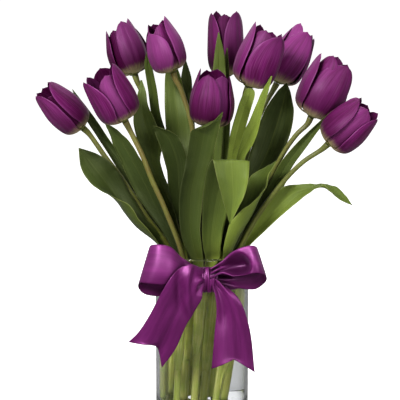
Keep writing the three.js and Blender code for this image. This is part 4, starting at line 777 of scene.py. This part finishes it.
def add_bloom(key, seed):
    build = Build(PETAL, STEM, PISTIL, ANTHER)
    base = np.array(BLOOMS[key][0], float)
    # the bloom's level: partly its own depth of colour, partly painted shade and painted light
    turn, bloom_colour_and_light = BLOOMS[key][4:]
    axis = bloom_axis(key)
    front, side = frame_of(axis)
    random = seeded(seed)
    build.rings(knob(base, axis, HEART), STEM, 0.3)
    for k in range(PETAL_COUNT):
        inner = k >= PETAL_COUNT // 2
        petal = {"turn": turn + k * 120 + (60 if inner else 0) + (random() - 0.5) * 10,
                 "mouth": (0.92 if inner else 1) * (0.94 + 0.12 * random()),
                 "long": (1.0 if inner else 0.97) * (0.97 + 0.06 * random()),
                 "lift": (0, 0) if inner else (random() * 1.3, random() * 1.3)}
        petal.update(PETALS[key].get(k, {}))
        more = seeded(seed * 31 + k)
        grid = petal_grid(key, petal, inner, [more() * ROUND for _ in range(3)])
        # a tone given in PETALS paints shade (low) and light (high); the others are drawn at random
        tone = petal.get("tone", more())
        build.blade(grid, PETAL_THICK, PETAL, tone, 1.0, (PETAL_SHADE_COURSE + bloom_colour_and_light, 0.25 * (more() - 0.5)))
    # pistil and stamens, seen from above
    build.rings(knob(base, axis, PISTIL_LINE, 12), PISTIL, 0.5)
    for k in range(STAMEN_COUNT):
        a = math.radians(360 / STAMEN_COUNT * k + 20)
        out = front * math.cos(a) + side * math.sin(a)
        lean = unit(axis + out * 0.22)
        foot = base + axis * 6 + out * 3.4
        build.rings(knob(foot, lean, STAMEN_LINE, 8), PISTIL, 0.3)
        build.rings(knob(foot + lean * 12.5, lean, ANTHER_LINE, 8), ANTHER, 0.3)
    obj = build.make(f"tulip_{key}")
    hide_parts(f"bloom_{key}")
    return obj


# Materials
def srgb(r, g, b):
    def lin(c):
        c /= 255
        return c / 12.92 if c < 0.04045 else ((c + 0.055) / 1.055) ** 2.4
    return (lin(r), lin(g), lin(b), 1)


class Nodes:
    """Short words for building a node tree."""

    def __init__(self, tree):
        self.tree = tree

    def set(self, socket, value):
        if isinstance(value, bpy.types.NodeSocket):
            self.tree.links.new(value, socket)
        else:
            socket.default_value = value

    def node(self, kind, inputs=None, **settings):
        node = self.tree.nodes.new(kind)
        for key, value in settings.items():
            setattr(node, key, value)
        for key, value in (inputs or {}).items():
            self.set(node.inputs[key], value)
        return node.outputs

    def math(self, op, a, b=0.0, c=0.0, clamp=False):
        return self.node("ShaderNodeMath", {0: a, 1: b, 2: c}, operation=op, use_clamp=clamp)[0]

    def times(self, a, b):
        return self.math("MULTIPLY", a, b)

    def axes(self, vector):
        return self.node("ShaderNodeSeparateXYZ", {0: vector})

    def map(self, value, a, b, c=0.0, d=1.0, smooth=True):
        ends = {"Value": value, "From Min": a, "From Max": b, "To Min": c, "To Max": d}
        kind = "SMOOTHSTEP" if smooth else "LINEAR"
        return self.node("ShaderNodeMapRange", ends, interpolation_type=kind)["Result"]


class Paint(Nodes):
    """One material; its colours are laid over each other by shares."""

    def __init__(self, name):
        self.mat = bpy.data.materials.new(name)
        self.mat.use_nodes = True
        super().__init__(self.mat.node_tree)
        self.shader = self.tree.nodes["Principled BSDF"]

    def look(self, **values):
        """Sets the shader's own sockets; a name's underscores stand for spaces."""
        for key, value in values.items():
            self.set(self.shader.inputs[key.replace("_", " ")], value)
        return self.mat

    def marks(self, *names):
        """The places across and along the piece, then the marks of its points."""
        spots = self.axes(self.node("ShaderNodeUVMap", uv_map="along")["UV"])
        values = [self.node("ShaderNodeAttribute", attribute_name=name)["Fac"] for name in names]
        return spots["X"], spots["Y"], *values

    def where(self):
        return self.node("ShaderNodeNewGeometry")["Position"]

    def noise(self, vector, scale, detail):
        return self.node("ShaderNodeTexNoise",
                         {"Vector": vector, "Scale": scale, "Detail": detail, "Roughness": 0.55})["Fac"]

    def streaks(self, marks, stretch, detail):
        """Noise drawn out along a piece, another one for each tone."""
        spots = {k: self.times(mark, share) for k, (mark, share) in enumerate(zip(marks, stretch))}
        return self.noise(self.node("ShaderNodeCombineXYZ", spots)[0], 1.0, detail)

    def mix(self, share, a, b):
        return self.node("ShaderNodeMix", {"Factor": share, 6: a, 7: b}, data_type="RGBA")[2]

    def layers(self, colour, *over):
        for share, paint in over:
            colour = self.mix(share, colour, paint)
        return colour

    def colour_and_light_course(self, fade, colour, dark, light):
        """Darker where the fade is below 0, lighter where it is above: partly own colour, partly painted
        shade and light.
        """
        return self.layers(colour, (self.map(fade, 0.0, -1.0, smooth=False), dark),
                           (self.map(fade, 0.0, 1.0, smooth=False), light))

    def from_middle(self, x):
        return self.math("ABSOLUTE", self.math("SUBTRACT", x, 0.5))

    def painted_fold_shade(self, distance, low, high, dark, colour, in_glass=True):
        """Paints shade where a piece stands deep in a fold or between other pieces."""
        light = self.node("ShaderNodeAmbientOcclusion", {"Distance": distance}, samples=6)["AO"]
        share = self.map(light, low, high)
        if in_glass:
            # light comes through the glass, so no painted shade is laid on what stands in the vase
            clear = self.map(self.axes(self.where())["Z"], 0.165, 0.152)
            share = self.math("MAXIMUM", share, clear)
        return self.mix(share, dark, colour)

    def bump(self, height, distance, strength):
        sizes = {"Strength": strength, "Distance": distance, "Height": height}
        return self.node("ShaderNodeBump", sizes)["Normal"]


PETAL_DEEP = srgb(80, 6, 60)
PETAL_MID = srgb(110, 14, 92)
PETAL_LIGHT = srgb(156, 74, 142)
PETAL_DARK = srgb(50, 0, 34)
PETAL_BLUSH = srgb(176, 164, 112)
LEAF_DARK = srgb(44, 54, 16)
LEAF_LIGHT = srgb(110, 129, 44)
LEAF_BLUE = srgb(70, 88, 42)
LEAF_PALE = srgb(136, 148, 70)
LEAF_SHADE = srgb(28, 36, 8)
LEAF_DEEP_AND_SHADED = srgb(26, 34, 10)
LEAF_FRESH_AND_LIT = srgb(164, 184, 72)
LEAF_EDGE = srgb(160, 166, 92)
LEAF_ROOT = srgb(146, 152, 62)
STEM_OLIVE = srgb(88, 94, 34)
STEM_TAN = srgb(112, 96, 46)
STEM_GREEN = srgb(106, 118, 42)
STEM_PALE = srgb(154, 152, 76)
STEM_SUBMERGED_LIT = srgb(188, 192, 88)
STEM_FRESH = srgb(120, 150, 40)
STEM_CREAM_HIGHLIGHT = srgb(214, 212, 148)
RIBBON_SHADE = srgb(52, 4, 44)
RIBBON_DEEP = srgb(94, 12, 82)
RIBBON_MID = srgb(119, 27, 106)
RIBBON_LIGHT = srgb(158, 64, 144)


def petal_paint():
    m = Paint("petal")
    x, y, tone, inner, fade = m.marks("tone", "inner", "fade")
    # fibres run from the base to the tip and close up with the petal
    fibre = m.streaks((x, y, tone), (46, 2.2, 9), 3)
    broad = m.streaks((x, y, tone), (7, 1.6, 17), 2)
    colour = m.layers(
        PETAL_DEEP,
        (m.map(broad, 0.3, 0.7), PETAL_MID),
        # each petal's tone, drawn at random except where given: there it is painted shade on sunk petals and
        # painted light on lit ones
        (m.map(tone, 0.0, 0.45, 0.45, 0.0), PETAL_DARK),
        (m.map(tone, 0.5, 1.0, 0.0, 0.45), PETAL_LIGHT),
        (m.map(fibre, 0.35, 0.75, 0.0, 0.34), PETAL_LIGHT),
        # a paler thin margin: partly the petal's own colour, partly a painted highlight where the edge
        # catches the light
        (m.map(m.from_middle(x), 0.44, 0.5, 0.0, 0.55), PETAL_LIGHT))
    # the course, partly the petal's own colour, partly painted shade and painted light
    colour = m.colour_and_light_course(fade, colour, PETAL_DARK, PETAL_LIGHT)
    # the inner face painted darker: painted shade inside the cup
    colour = m.mix(m.times(inner, 0.55), colour, PETAL_DARK)
    # painted shade in the gaps between petals
    colour = m.painted_fold_shade(0.012, 0.2, 0.85, PETAL_DARK, colour)
    # greenish white blush at the base, drawn out along the fibres
    rise = m.math("ADD", y, m.times(m.math("SUBTRACT", fibre, 0.5), 0.16))
    colour = m.mix(m.map(rise, 0.06, 0.29, 0.88, 0.0), colour, PETAL_BLUSH)
    height = m.math("ADD", m.times(fibre, 0.6), broad)
    return m.look(
        Base_Color=colour, Roughness=m.map(fibre, 0.3, 0.7, 0.36, 0.5, smooth=False), Specular_IOR_Level=0.26,
        Specular_Tint=(1.0, 0.5, 0.95, 1), Sheen_Weight=0.02, Sheen_Roughness=0.35,
        Sheen_Tint=(0.75, 0.42, 0.85, 1), Normal=m.bump(height, 0.0006, 0.55))


def leaf_paint():
    m = Paint("leaf")
    x, y, tone, inner, fade = m.marks("tone", "inner", "fade")
    slow = m.streaks((x, y, tone), (2.4, 5, 31), 3)
    vein = m.streaks((x, y, tone), (34, 0.9, 7), 2)
    fine = m.streaks((x, y, tone), (110, 5, 13), 1)
    from_middle = m.from_middle(x)
    colour = m.layers(
        LEAF_DARK,
        (m.map(tone, 0.0, 1.0), LEAF_LIGHT),
        (m.map(slow, 0.35, 0.7, 0.0, 0.3), LEAF_BLUE),
        (m.map(vein, 0.42, 0.72, 0.0, 0.12), LEAF_PALE),
        (m.map(fine, 0.3, 0.5, 0.22, 0.0), LEAF_SHADE),
        (m.map(from_middle, 0.0, 0.03, 0.22, 0.0), LEAF_PALE),
        (m.map(from_middle, 0.478, 0.5, 0.0, 0.6), LEAF_EDGE),
        (m.map(y, 0.0, 0.3, 0.5, 0.0), LEAF_ROOT),
        (m.times(inner, 0.16), LEAF_BLUE))
    # painted shade deep in the bunch, over the course, which is partly painted shade and painted light
    colour = m.painted_fold_shade(0.045, 0.14, 0.82, LEAF_SHADE, m.colour_and_light_course(fade, colour, LEAF_DEEP_AND_SHADED, LEAF_FRESH_AND_LIT))
    return m.look(
        Base_Color=colour, Roughness=m.map(vein, 0.3, 0.7, 0.38, 0.52, smooth=False), Specular_IOR_Level=0.4,
        Specular_Tint=(0.9, 1.0, 0.6, 1), Sheen_Weight=0.06, Sheen_Roughness=0.4,
        Sheen_Tint=(0.8, 0.95, 0.8, 1), Normal=m.bump(m.math("ADD", vein, m.times(fine, 0.35)), 0.0006, 0.45))


def stem_paint(name, submerged_lit):
    """A stalk or leaf base; under the water it is paler and yellower, partly its own colour and partly
    painted light, with pale streaks that are partly painted highlights, and fresher in patches.
    """
    m = Paint(name)
    x, y, tone = m.marks("tone")
    where = m.where()
    height = m.axes(where)["Z"]
    line = m.streaks((x, y, tone), (22, 2.2, 11), 3)
    patch = m.noise(where, 70, 2)
    deep = m.map(height, 0.15, 0.12)
    colour = m.layers(
        STEM_OLIVE,
        (m.map(tone, 0.0, 1.0), STEM_TAN),
        (m.map(patch, 0.35, 0.7, 0.0, 0.45), STEM_GREEN),
        (m.map(line, 0.45, 0.75, 0.0, 0.4), STEM_PALE),
        # paler under the water: partly the stalk's own colour, partly painted light
        (m.map(height, 0.15, 0.11, 0.0, submerged_lit), STEM_SUBMERGED_LIT),
        (m.times(deep, m.map(patch, 0.4, 0.62, 0.0, 0.4)), STEM_FRESH),
        # pale streaks under the water: partly pale ribs, partly painted highlights
        (m.times(deep, m.map(line, 0.5, 0.66, 0.0, 0.45)), STEM_CREAM_HIGHLIGHT))
    # the base colour gets painted shade where the stalk stands close among others above the water
    return m.look(
        Base_Color=m.painted_fold_shade(0.03, 0.15, 0.8, LEAF_SHADE, colour), Specular_IOR_Level=0.45,
        Roughness=m.map(line, 0.3, 0.7, 0.36, 0.5, smooth=False), Normal=m.bump(line, 0.0005, 0.5))


def heart_paint(name, dark, light):
    m = Paint(name)
    grain = m.noise(m.where(), 900, 3)
    return m.look(Base_Color=m.mix(m.map(grain, 0.3, 0.7), dark, light), Roughness=0.7,
                  Normal=m.bump(grain, 0.0004, 0.6))


def ribbon_paint():
    m = Paint("satin_ribbon")
    x, y, tone = m.marks("tone")
    slow = m.streaks((x, y, tone), (5, 2, 1), 2)
    # satin weave: fine warp floats across the ribbon's width
    weave = m.streaks((x, y, tone), (240, 8, 1), 1)
    colour = m.layers(
        RIBBON_DEEP,
        (m.map(slow, 0.3, 0.7), RIBBON_MID),
        (m.map(weave, 0.35, 0.65, 0.0, 0.14), RIBBON_LIGHT),
        (m.map(m.from_middle(x), 0.472, 0.482, 0.0, 0.4), RIBBON_DEEP))
    # the base colour gets painted shade in the ribbon's folds and between its pieces
    return m.look(
        Base_Color=m.painted_fold_shade(0.022, 0.3, 0.9, RIBBON_SHADE, colour, False), Metallic=0.3, Roughness=0.42,
        Specular_IOR_Level=1.0, Specular_Tint=(1.0, 0.55, 0.95, 1), Anisotropic=0.5, Sheen_Weight=0.12,
        Sheen_Roughness=0.3, Sheen_Tint=(0.8, 0.5, 0.85, 1), Normal=m.bump(weave, 0.00012, 0.4))


def clear_paint(name, ior, tint, shine, edge=None, edge_share=0.0):
    """Clear glass or water; lamps shine through it, and the glass is a little darker at its edges:
    partly its own green seen edge-on, partly painted shade.
    """
    m = Paint(name)
    m.look(Base_Color=tint, Roughness=0.01, IOR=ior, Transmission_Weight=1.0, Specular_IOR_Level=shine)
    if edge:
        # painted shade at the glass's edges, partly the green of the thick glass seen edge-on
        rim = m.math("POWER", m.node("ShaderNodeLayerWeight", {"Blend": 0.5})["Facing"], 3.5)
        faint = m.map(m.noise(m.where(), 14, 1), 0.2, 0.8, 0.85 * edge_share, edge_share)
        m.look(Base_Color=m.mix(m.math("MULTIPLY", rim, faint, clamp=True), tint, edge))
    clear = m.node("ShaderNodeBsdfTransparent", {"Color": (0.97, 0.98, 0.975, 1)})[0]
    rays = m.node("ShaderNodeLightPath")
    soft = m.math("MAXIMUM", rays["Is Shadow Ray"], rays["Is Diffuse Ray"])
    both = m.node("ShaderNodeMixShader", {0: soft, 1: m.shader.outputs[0], 2: clear})[0]
    m.set(m.tree.nodes["Material Output"].inputs["Surface"], both)
    return m.mat


PETAL = petal_paint()
LEAF = leaf_paint()
STEM = stem_paint("stem", 0.55)
SHEATH = stem_paint("leaf_base", 0.8)
PISTIL = heart_paint("pistil", srgb(150, 160, 90), srgb(190, 190, 130))
ANTHER = heart_paint("anther", srgb(30, 12, 34), srgb(70, 40, 60))
RIBBON = ribbon_paint()
GLASS = clear_paint("clear_glass", 1.45, (0.948, 0.954, 0.974, 1), 0.6, (0.52, 0.58, 0.55, 1), 1.0)
WATER = clear_paint("water", 1.33, (0.985, 0.992, 0.985, 1), 0.2)


# Vase: an outer and an inner wall, a rounded rim and a thick base
def arc(cx, cz, r, start, stop, steps):
    return [(cx + r * math.cos(math.radians(a)), cz + r * math.sin(math.radians(a)))
            for a in np.linspace(start, stop, steps)]


def inside(radius, *levels):
    """Places of a profile, each by how far it lies inside a radius and by its height."""
    return [(radius - d, z) for d, z in levels]


vase = Build(GLASS)
top = VASE_HEIGHT
profile = [(0, 0), (VASE_RADIUS - 6, 0)]
profile += arc(VASE_RADIUS - FOOT_ROUND, FOOT_ROUND, FOOT_ROUND, -90, 0, 5)
profile += [(VASE_RADIUS, z) for z in np.linspace(8, top - 6, 12)]
# the fire-polished rim is chamfered outside and round inside
profile += inside(VASE_RADIUS, (0, top - 2.0), (0.08, top - 1.5), (0.25, top - 1.25))
profile += inside(VASE_RADIUS, (1.75, top - 0.3), (2.0, top - 0.12))
profile += arc(BORE + RIM_ROUND, top - RIM_ROUND, RIM_ROUND, 75, 180, 7)
profile += [(BORE, z) for z in np.linspace(top - 8, VASE_FLOOR + 6, 10)]
profile += arc(BORE - FLOOR_ROUND, VASE_FLOOR + FLOOR_ROUND, FLOOR_ROUND, 0, -90, 6)
profile += [(BORE * 0.5, VASE_FLOOR), (0, VASE_FLOOR)]
vase.lathe(profile, VASE_SIDES, GLASS)
vase_obj = vase.make("vase_glass")
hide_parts("vase")

# Water, with the small rise where it meets the wall
water = Build(WATER)
edge, low, top = BORE - GAP, VASE_FLOOR + GAP, WATER_LEVEL
profile = [(0, low), (edge * 0.5, low)]
profile += arc(edge - WATER_ROUND, low + WATER_ROUND, WATER_ROUND, -90, 0, 6)
profile += [(edge, z) for z in np.linspace(VASE_FLOOR + 8, top - 1.4, 9)]
profile += inside(edge, (0, top), (0.5, top - 0.6), (1.3, top - 1.1), (2.8, top - 1.4))
profile += [(edge * 0.5, top - WATER_RISE), (0, top - WATER_RISE)]
water.lathe(profile, VASE_SIDES, WATER)
water_obj = water.make("water_body")
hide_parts("water")

# Stalks with their leaves, then the blooms
seed = FIRST_SEED
for key in STEM_LINES:
    build = Build(LEAF, STEM, SHEATH)
    add_stem(build, key, STEM_TONES[key], seed)
    for stem, tone, colour_and_light_course, rows in LEAVES.values():
        if stem == key:
            build.blade(leaf_grid(key, rows, seed), LEAF_THICK, LEAF, tone, colour_and_light_course=colour_and_light_course)
            seed += 1
    build.blade(sheath_grid(key, seed), SHEATH_THICK, SHEATH, STEM_TONES[key])
    if key == "j":
        build.blade(torn_grid(), SHEATH_THICK, SHEATH, 0.8)
    for foot, top, half, tone in SPARE_BASES.get(key, ()):
        build.blade(spare_grid(foot, top, half), SHEATH_THICK, SHEATH, tone)
    obj = build.make(f"stalk_{key}")
    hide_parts(f"stem_{key}")

for key in STEM_LINES:
    obj = add_bloom(key, seed)
    seed += 1


# Ribbon
def ribbon_grid(rows, along, columns, shape, notch=None):
    """A length of ribbon on its edges, moved off them by a shape; a cut end is drawn to its notch."""
    left, right = edges(rows)
    last = len(rows) - 1

    def row_at(t):
        start, across, normal = station(left, right, t * last, last)
        pull = ease(0.72, 1.0, t) ** 1.6

        def point(v):
            p = start + across * (v + 1) / 2 + normal * shape(t, v)
            if notch:
                # every row is drawn towards the notch, the last one all the way
                p = p + (np.array(notch) - (start + across / 2)) * pull * (1 - abs(v))
            return p

        return point

    return grid_of(row_at, along, columns)


def band_grid():
    """The ribbon goes round the glass with its lower edge turned under."""
    wide = RIBBON_WIDE / MM
    high = wide - BAND_TURNED_UNDER

    def row_at(t):
        a = 2 * math.pi * t
        sway = 0.7 * math.sin(2 * a) + 0.5 * math.sin(3 * a + 1)

        def point(s):
            up = (s + 1) / 2 * wide - BAND_TURNED_UNDER
            z, r = BAND_LOW + GAP - up, VASE_RADIUS + BAND_UNDER
            if up >= 0:
                z, r = BAND_LOW + up, VASE_RADIUS + BAND_OVER
                r += 0.35 * math.sin(math.pi * up / high) * math.cos(9 * up / high + sway)
            z += 0.45 * math.sin(2 * a + 1) * (z - BAND_LOW) / 24
            return r * math.sin(a), -r * math.cos(a), z

        return point

    return grid_of(row_at, VASE_SIDES, 29)


def wrap_grid(tilt=-0.1):
    """The knot's short wrap in a few soft creases."""
    wide, deep, high = KNOT_HALF

    def row_at(t):
        a = math.radians(WRAP_TURN * (2 * t - 1))

        def point(v):
            x = wide * v * (1 - 0.12 * bell(a, -0.5, 0.6))
            fold = 0.09 * math.cos(3.3 * math.pi * v + 0.8 * math.sin(1.3 * a) + 0.5)
            fold += 0.05 * math.cos(6.1 * math.pi * v - 0.9 * a + 1)
            size = ((1 - abs(v) ** 3.0) * 0.34 + 0.66) * (1 + fold)
            y, z = -deep * math.cos(a) * size, high * math.sin(a) * size
            sway = z * math.sin(tilt) * max(math.cos(a), 0)
            y, z = y * math.cos(tilt) - sway, y * math.sin(tilt) + z * math.cos(tilt)
            if math.cos(a) < 0:
                # the back of the wrap reaches to the band
                y = math.cos(a) / WRAP_BACK * (KNOT_AT[1] + math.sqrt(BAND_FACE ** 2 - (KNOT_AT[0] + x) ** 2))
            return KNOT_AT[0] + x, KNOT_AT[1] + y, KNOT_AT[2] + z

        return point

    return grid_of(row_at, 48, 41)


def left_loop(t, v):
    near = 1 - ease(0.0, 0.2, min(t, 1 - t))
    swell = -4.6 * bell(t, 0.29, 0.1) * (1 - 0.8 * v * v) + 2.6 * bell(t, 0.14, 0.06) * (1 - v * v)
    lean = -2.6 * v * bell(t, 0.27, 0.12)
    return 1.8 * near * math.cos(7.5 * v + 0.6) + swell + lean


def right_loop(t, v):
    near = 1 - ease(0.0, 0.2, min(t, 1 - t))
    # the front is pushed in beside the knot and swells out again before its bend
    past = t - 0.25 - 0.02 * v
    across = past / (0.19 if past < 0 else 0.115)
    left = max(1 - across ** 2 - ((v - 0.12) / 0.98) ** 2, 0)
    hollow = -16 * left ** 1.25
    swell = 2.2 * bell(t, 0.41, 0.045) * (1 - v * v)
    return 2.7 * near * math.cos(7.5 * v + 0.2) + hollow + swell


def left_tail(t, v):
    # a slanting fold crosses the tail from its upper edge beside the knot to its right edge
    fade = ease(0.1, 0.24, t) * (1 - ease(0.5, 0.66, t))
    at = -0.46 + 4.4 * (t - 0.28)
    fold = 3.6 * bell(v, at - 0.42, 0.34) - 3.2 * bell(v, at + 0.12, 0.24)
    side = 3.4 * bell(v, 0.62, 0.16) * bell(t, 0.2, 0.12) - 2.6 * bell(v, 0.25, 0.2) * bell(t, 0.12, 0.1)
    pan = 4.2 * ease(-1.0, 0.1, v) * bell(t, 0.5, 0.17)
    curl = max((t - 0.58) / 0.42, 0) ** 1.2 * (2.0 * ease(-0.3, -1.0, v) - 7.0 * bell(v, -0.4, 0.7))
    end = curl + 3.0 * ease(0.5, 0.9, t) * bell(v, 0.4, 0.4)
    return fold * fade + side + pan + end + 0.9 * math.cos(5 * v) * (1 - ease(0.0, 0.18, t))


def right_tail(t, v):
    ridge = 3.4 * bell(v, -0.5, 0.38) * ease(0.05, 0.3, t) * (1 - ease(0.6, 0.95, t))
    side = -6.5 * ease(0.12, 0.5, t) * ease(-0.45, 0.9, v) * (1 - 0.6 * ease(0.6, 0.95, t))
    fold = (-2.8 * bell(v, 0.3, 0.22) + 2.4 * bell(v, -0.1, 0.16)) * (1 - ease(0.1, 0.5, t))
    end = -max((t - 0.58) / 0.42, 0) ** 1.5 * (5.0 + 5.0 * bell(v, -0.45, 0.55))
    return ridge + side + fold + end + 0.9 * math.cos(6 * v + 0.6) * (1 - ease(0.0, 0.2, t))


def ribbon_piece(name, grid, tone=0.5, length=None):
    build = Build(RIBBON)
    build.blade(grid, RIBBON_THICK, RIBBON, tone)
    obj = build.make(name)
    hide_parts("ribbon")
    length or length_of(grid[:, grid.shape[1] // 2]) * MM


ribbon_piece("bow_band", band_grid(), 0.3, 2 * math.pi * BAND_RADIUS * MM)

# Knot: the wrap, and inside it two cores that stand for the turns of ribbon it holds
build = Build(RIBBON)
build.blade(wrap_grid(), RIBBON_THICK, RIBBON, 0.4)
for shift in (-4.4, 4.4):
    core = np.array(KNOT_AT) + (-7.4, 0.8, shift)
    build.rings(knob(core, np.array([1.0, 0, 0]), CORE_LINE), RIBBON, 0.3)
knot = build.make("bow_knot")
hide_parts("ribbon")

for name, *shapes in (
    ("bow_loop_left", LOOP_LEFT, 120, 33, left_loop),
    ("bow_loop_right", LOOP_RIGHT, 120, 33, right_loop),
    ("bow_tail_left", TAIL_LEFT, 100, 41, left_tail, NOTCH_LEFT),
    ("bow_tail_right", TAIL_RIGHT, 100, 41, right_tail, NOTCH_RIGHT),
):
    ribbon_piece(name, ribbon_grid(*shapes))


# Floor and studio light
def grey(level):
    return (level, level, level, 1)


bpy.ops.mesh.primitive_plane_add(size=60, location=(0, 0, 0))
floor = bpy.context.object
floor.name = "floor"
paper = Paint("floor")
# the paper sweep is lit to white from behind, which only the camera sees, and in part through the glass
rays = paper.node("ShaderNodeLightPath")
seen, passed = rays["Is Camera Ray"], rays["Is Transmission Ray"]
straight = paper.math("SUBTRACT", passed, rays["Glossy Depth"], clamp=True)
glow = paper.math("MULTIPLY_ADD", straight, 0.32, paper.times(passed, 0.05))
glow = paper.math("MULTIPLY_ADD", seen, 1.0, glow)
# what mirrors it shows it dark at the front, or a grey veil would hide the stalks behind the glass
mirrored = paper.mix(paper.map(paper.axes(paper.where())["Y"], 0.1, -0.1), grey(0.26), grey(0.04))
shown = paper.mix(seen, grey(0.72), (0.93, 0.93, 0.935, 1))
paper.look(Base_Color=paper.mix(rays["Is Glossy Ray"], shown, mirrored), Roughness=0.9,
           Specular_IOR_Level=0.0, Emission_Color=grey(1), Emission_Strength=glow)
floor.data.materials.append(paper.mat)
floor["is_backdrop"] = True

# white behind the vase and through it, dim to everything that only reflects it
world = bpy.data.worlds.new("studio")
world.use_nodes = True
sky = Nodes(world.node_tree)
rays = sky.node("ShaderNodeLightPath")
passed = rays["Is Transmission Ray"]
straight = sky.math("SUBTRACT", passed, rays["Glossy Depth"], clamp=True)
level = sky.math("MULTIPLY_ADD", straight, 0.5, sky.math("MULTIPLY_ADD", passed, 0.17, 0.08))
# a glossy edge mirrors the white wall at the back and the dark room at the front
way = sky.axes(sky.node("ShaderNodeTexCoord")["Generated"])
behind = sky.math("SUBTRACT", way["Y"], -0.15, clamp=True)
above = sky.math("SUBTRACT", way["Z"], 0.15, clamp=True)
mirrored = sky.times(sky.math("MAXIMUM", behind, above), rays["Is Glossy Ray"])
level = sky.math("MULTIPLY_ADD", mirrored, 0.85, level)
level = sky.math("MULTIPLY_ADD", rays["Is Camera Ray"], 0.92, level)
back = sky.tree.nodes["Background"]
sky.set(back.inputs["Color"], grey(1))
sky.set(back.inputs["Strength"], level)
bpy.context.scene.world = world


def lamp(name, at, size, power, aim=(0, 0, 0.22)):
    data = bpy.data.lights.new(name, "AREA")
    data.shape = "RECTANGLE"
    data.size, data.size_y = size
    data.energy = power
    obj = bpy.data.objects.new(name, data)
    obj.location = at
    way = np.array(aim) - np.array(at)
    yaw = math.atan2(way[1], way[0]) - math.pi / 2
    pitch = math.atan2(way[2], math.hypot(way[0], way[1]))
    obj.rotation_euler = (math.pi / 2 + pitch, 0, yaw)
    bpy.context.scene.collection.objects.link(obj)


lamp("key", (-0.9, -1.5, 1.3), (0.45, 0.45), 42)
lamp("fill", (0.85, -1.5, 0.75), (1.1, 0.4), 10)
lamp("top", (0.1, 0.6, 1.7), (0.8, 0.5), 18)
bpy.context.scene.view_settings.view_transform = "Standard"
bpy.context.scene.view_settings.look = "None"

low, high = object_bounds()
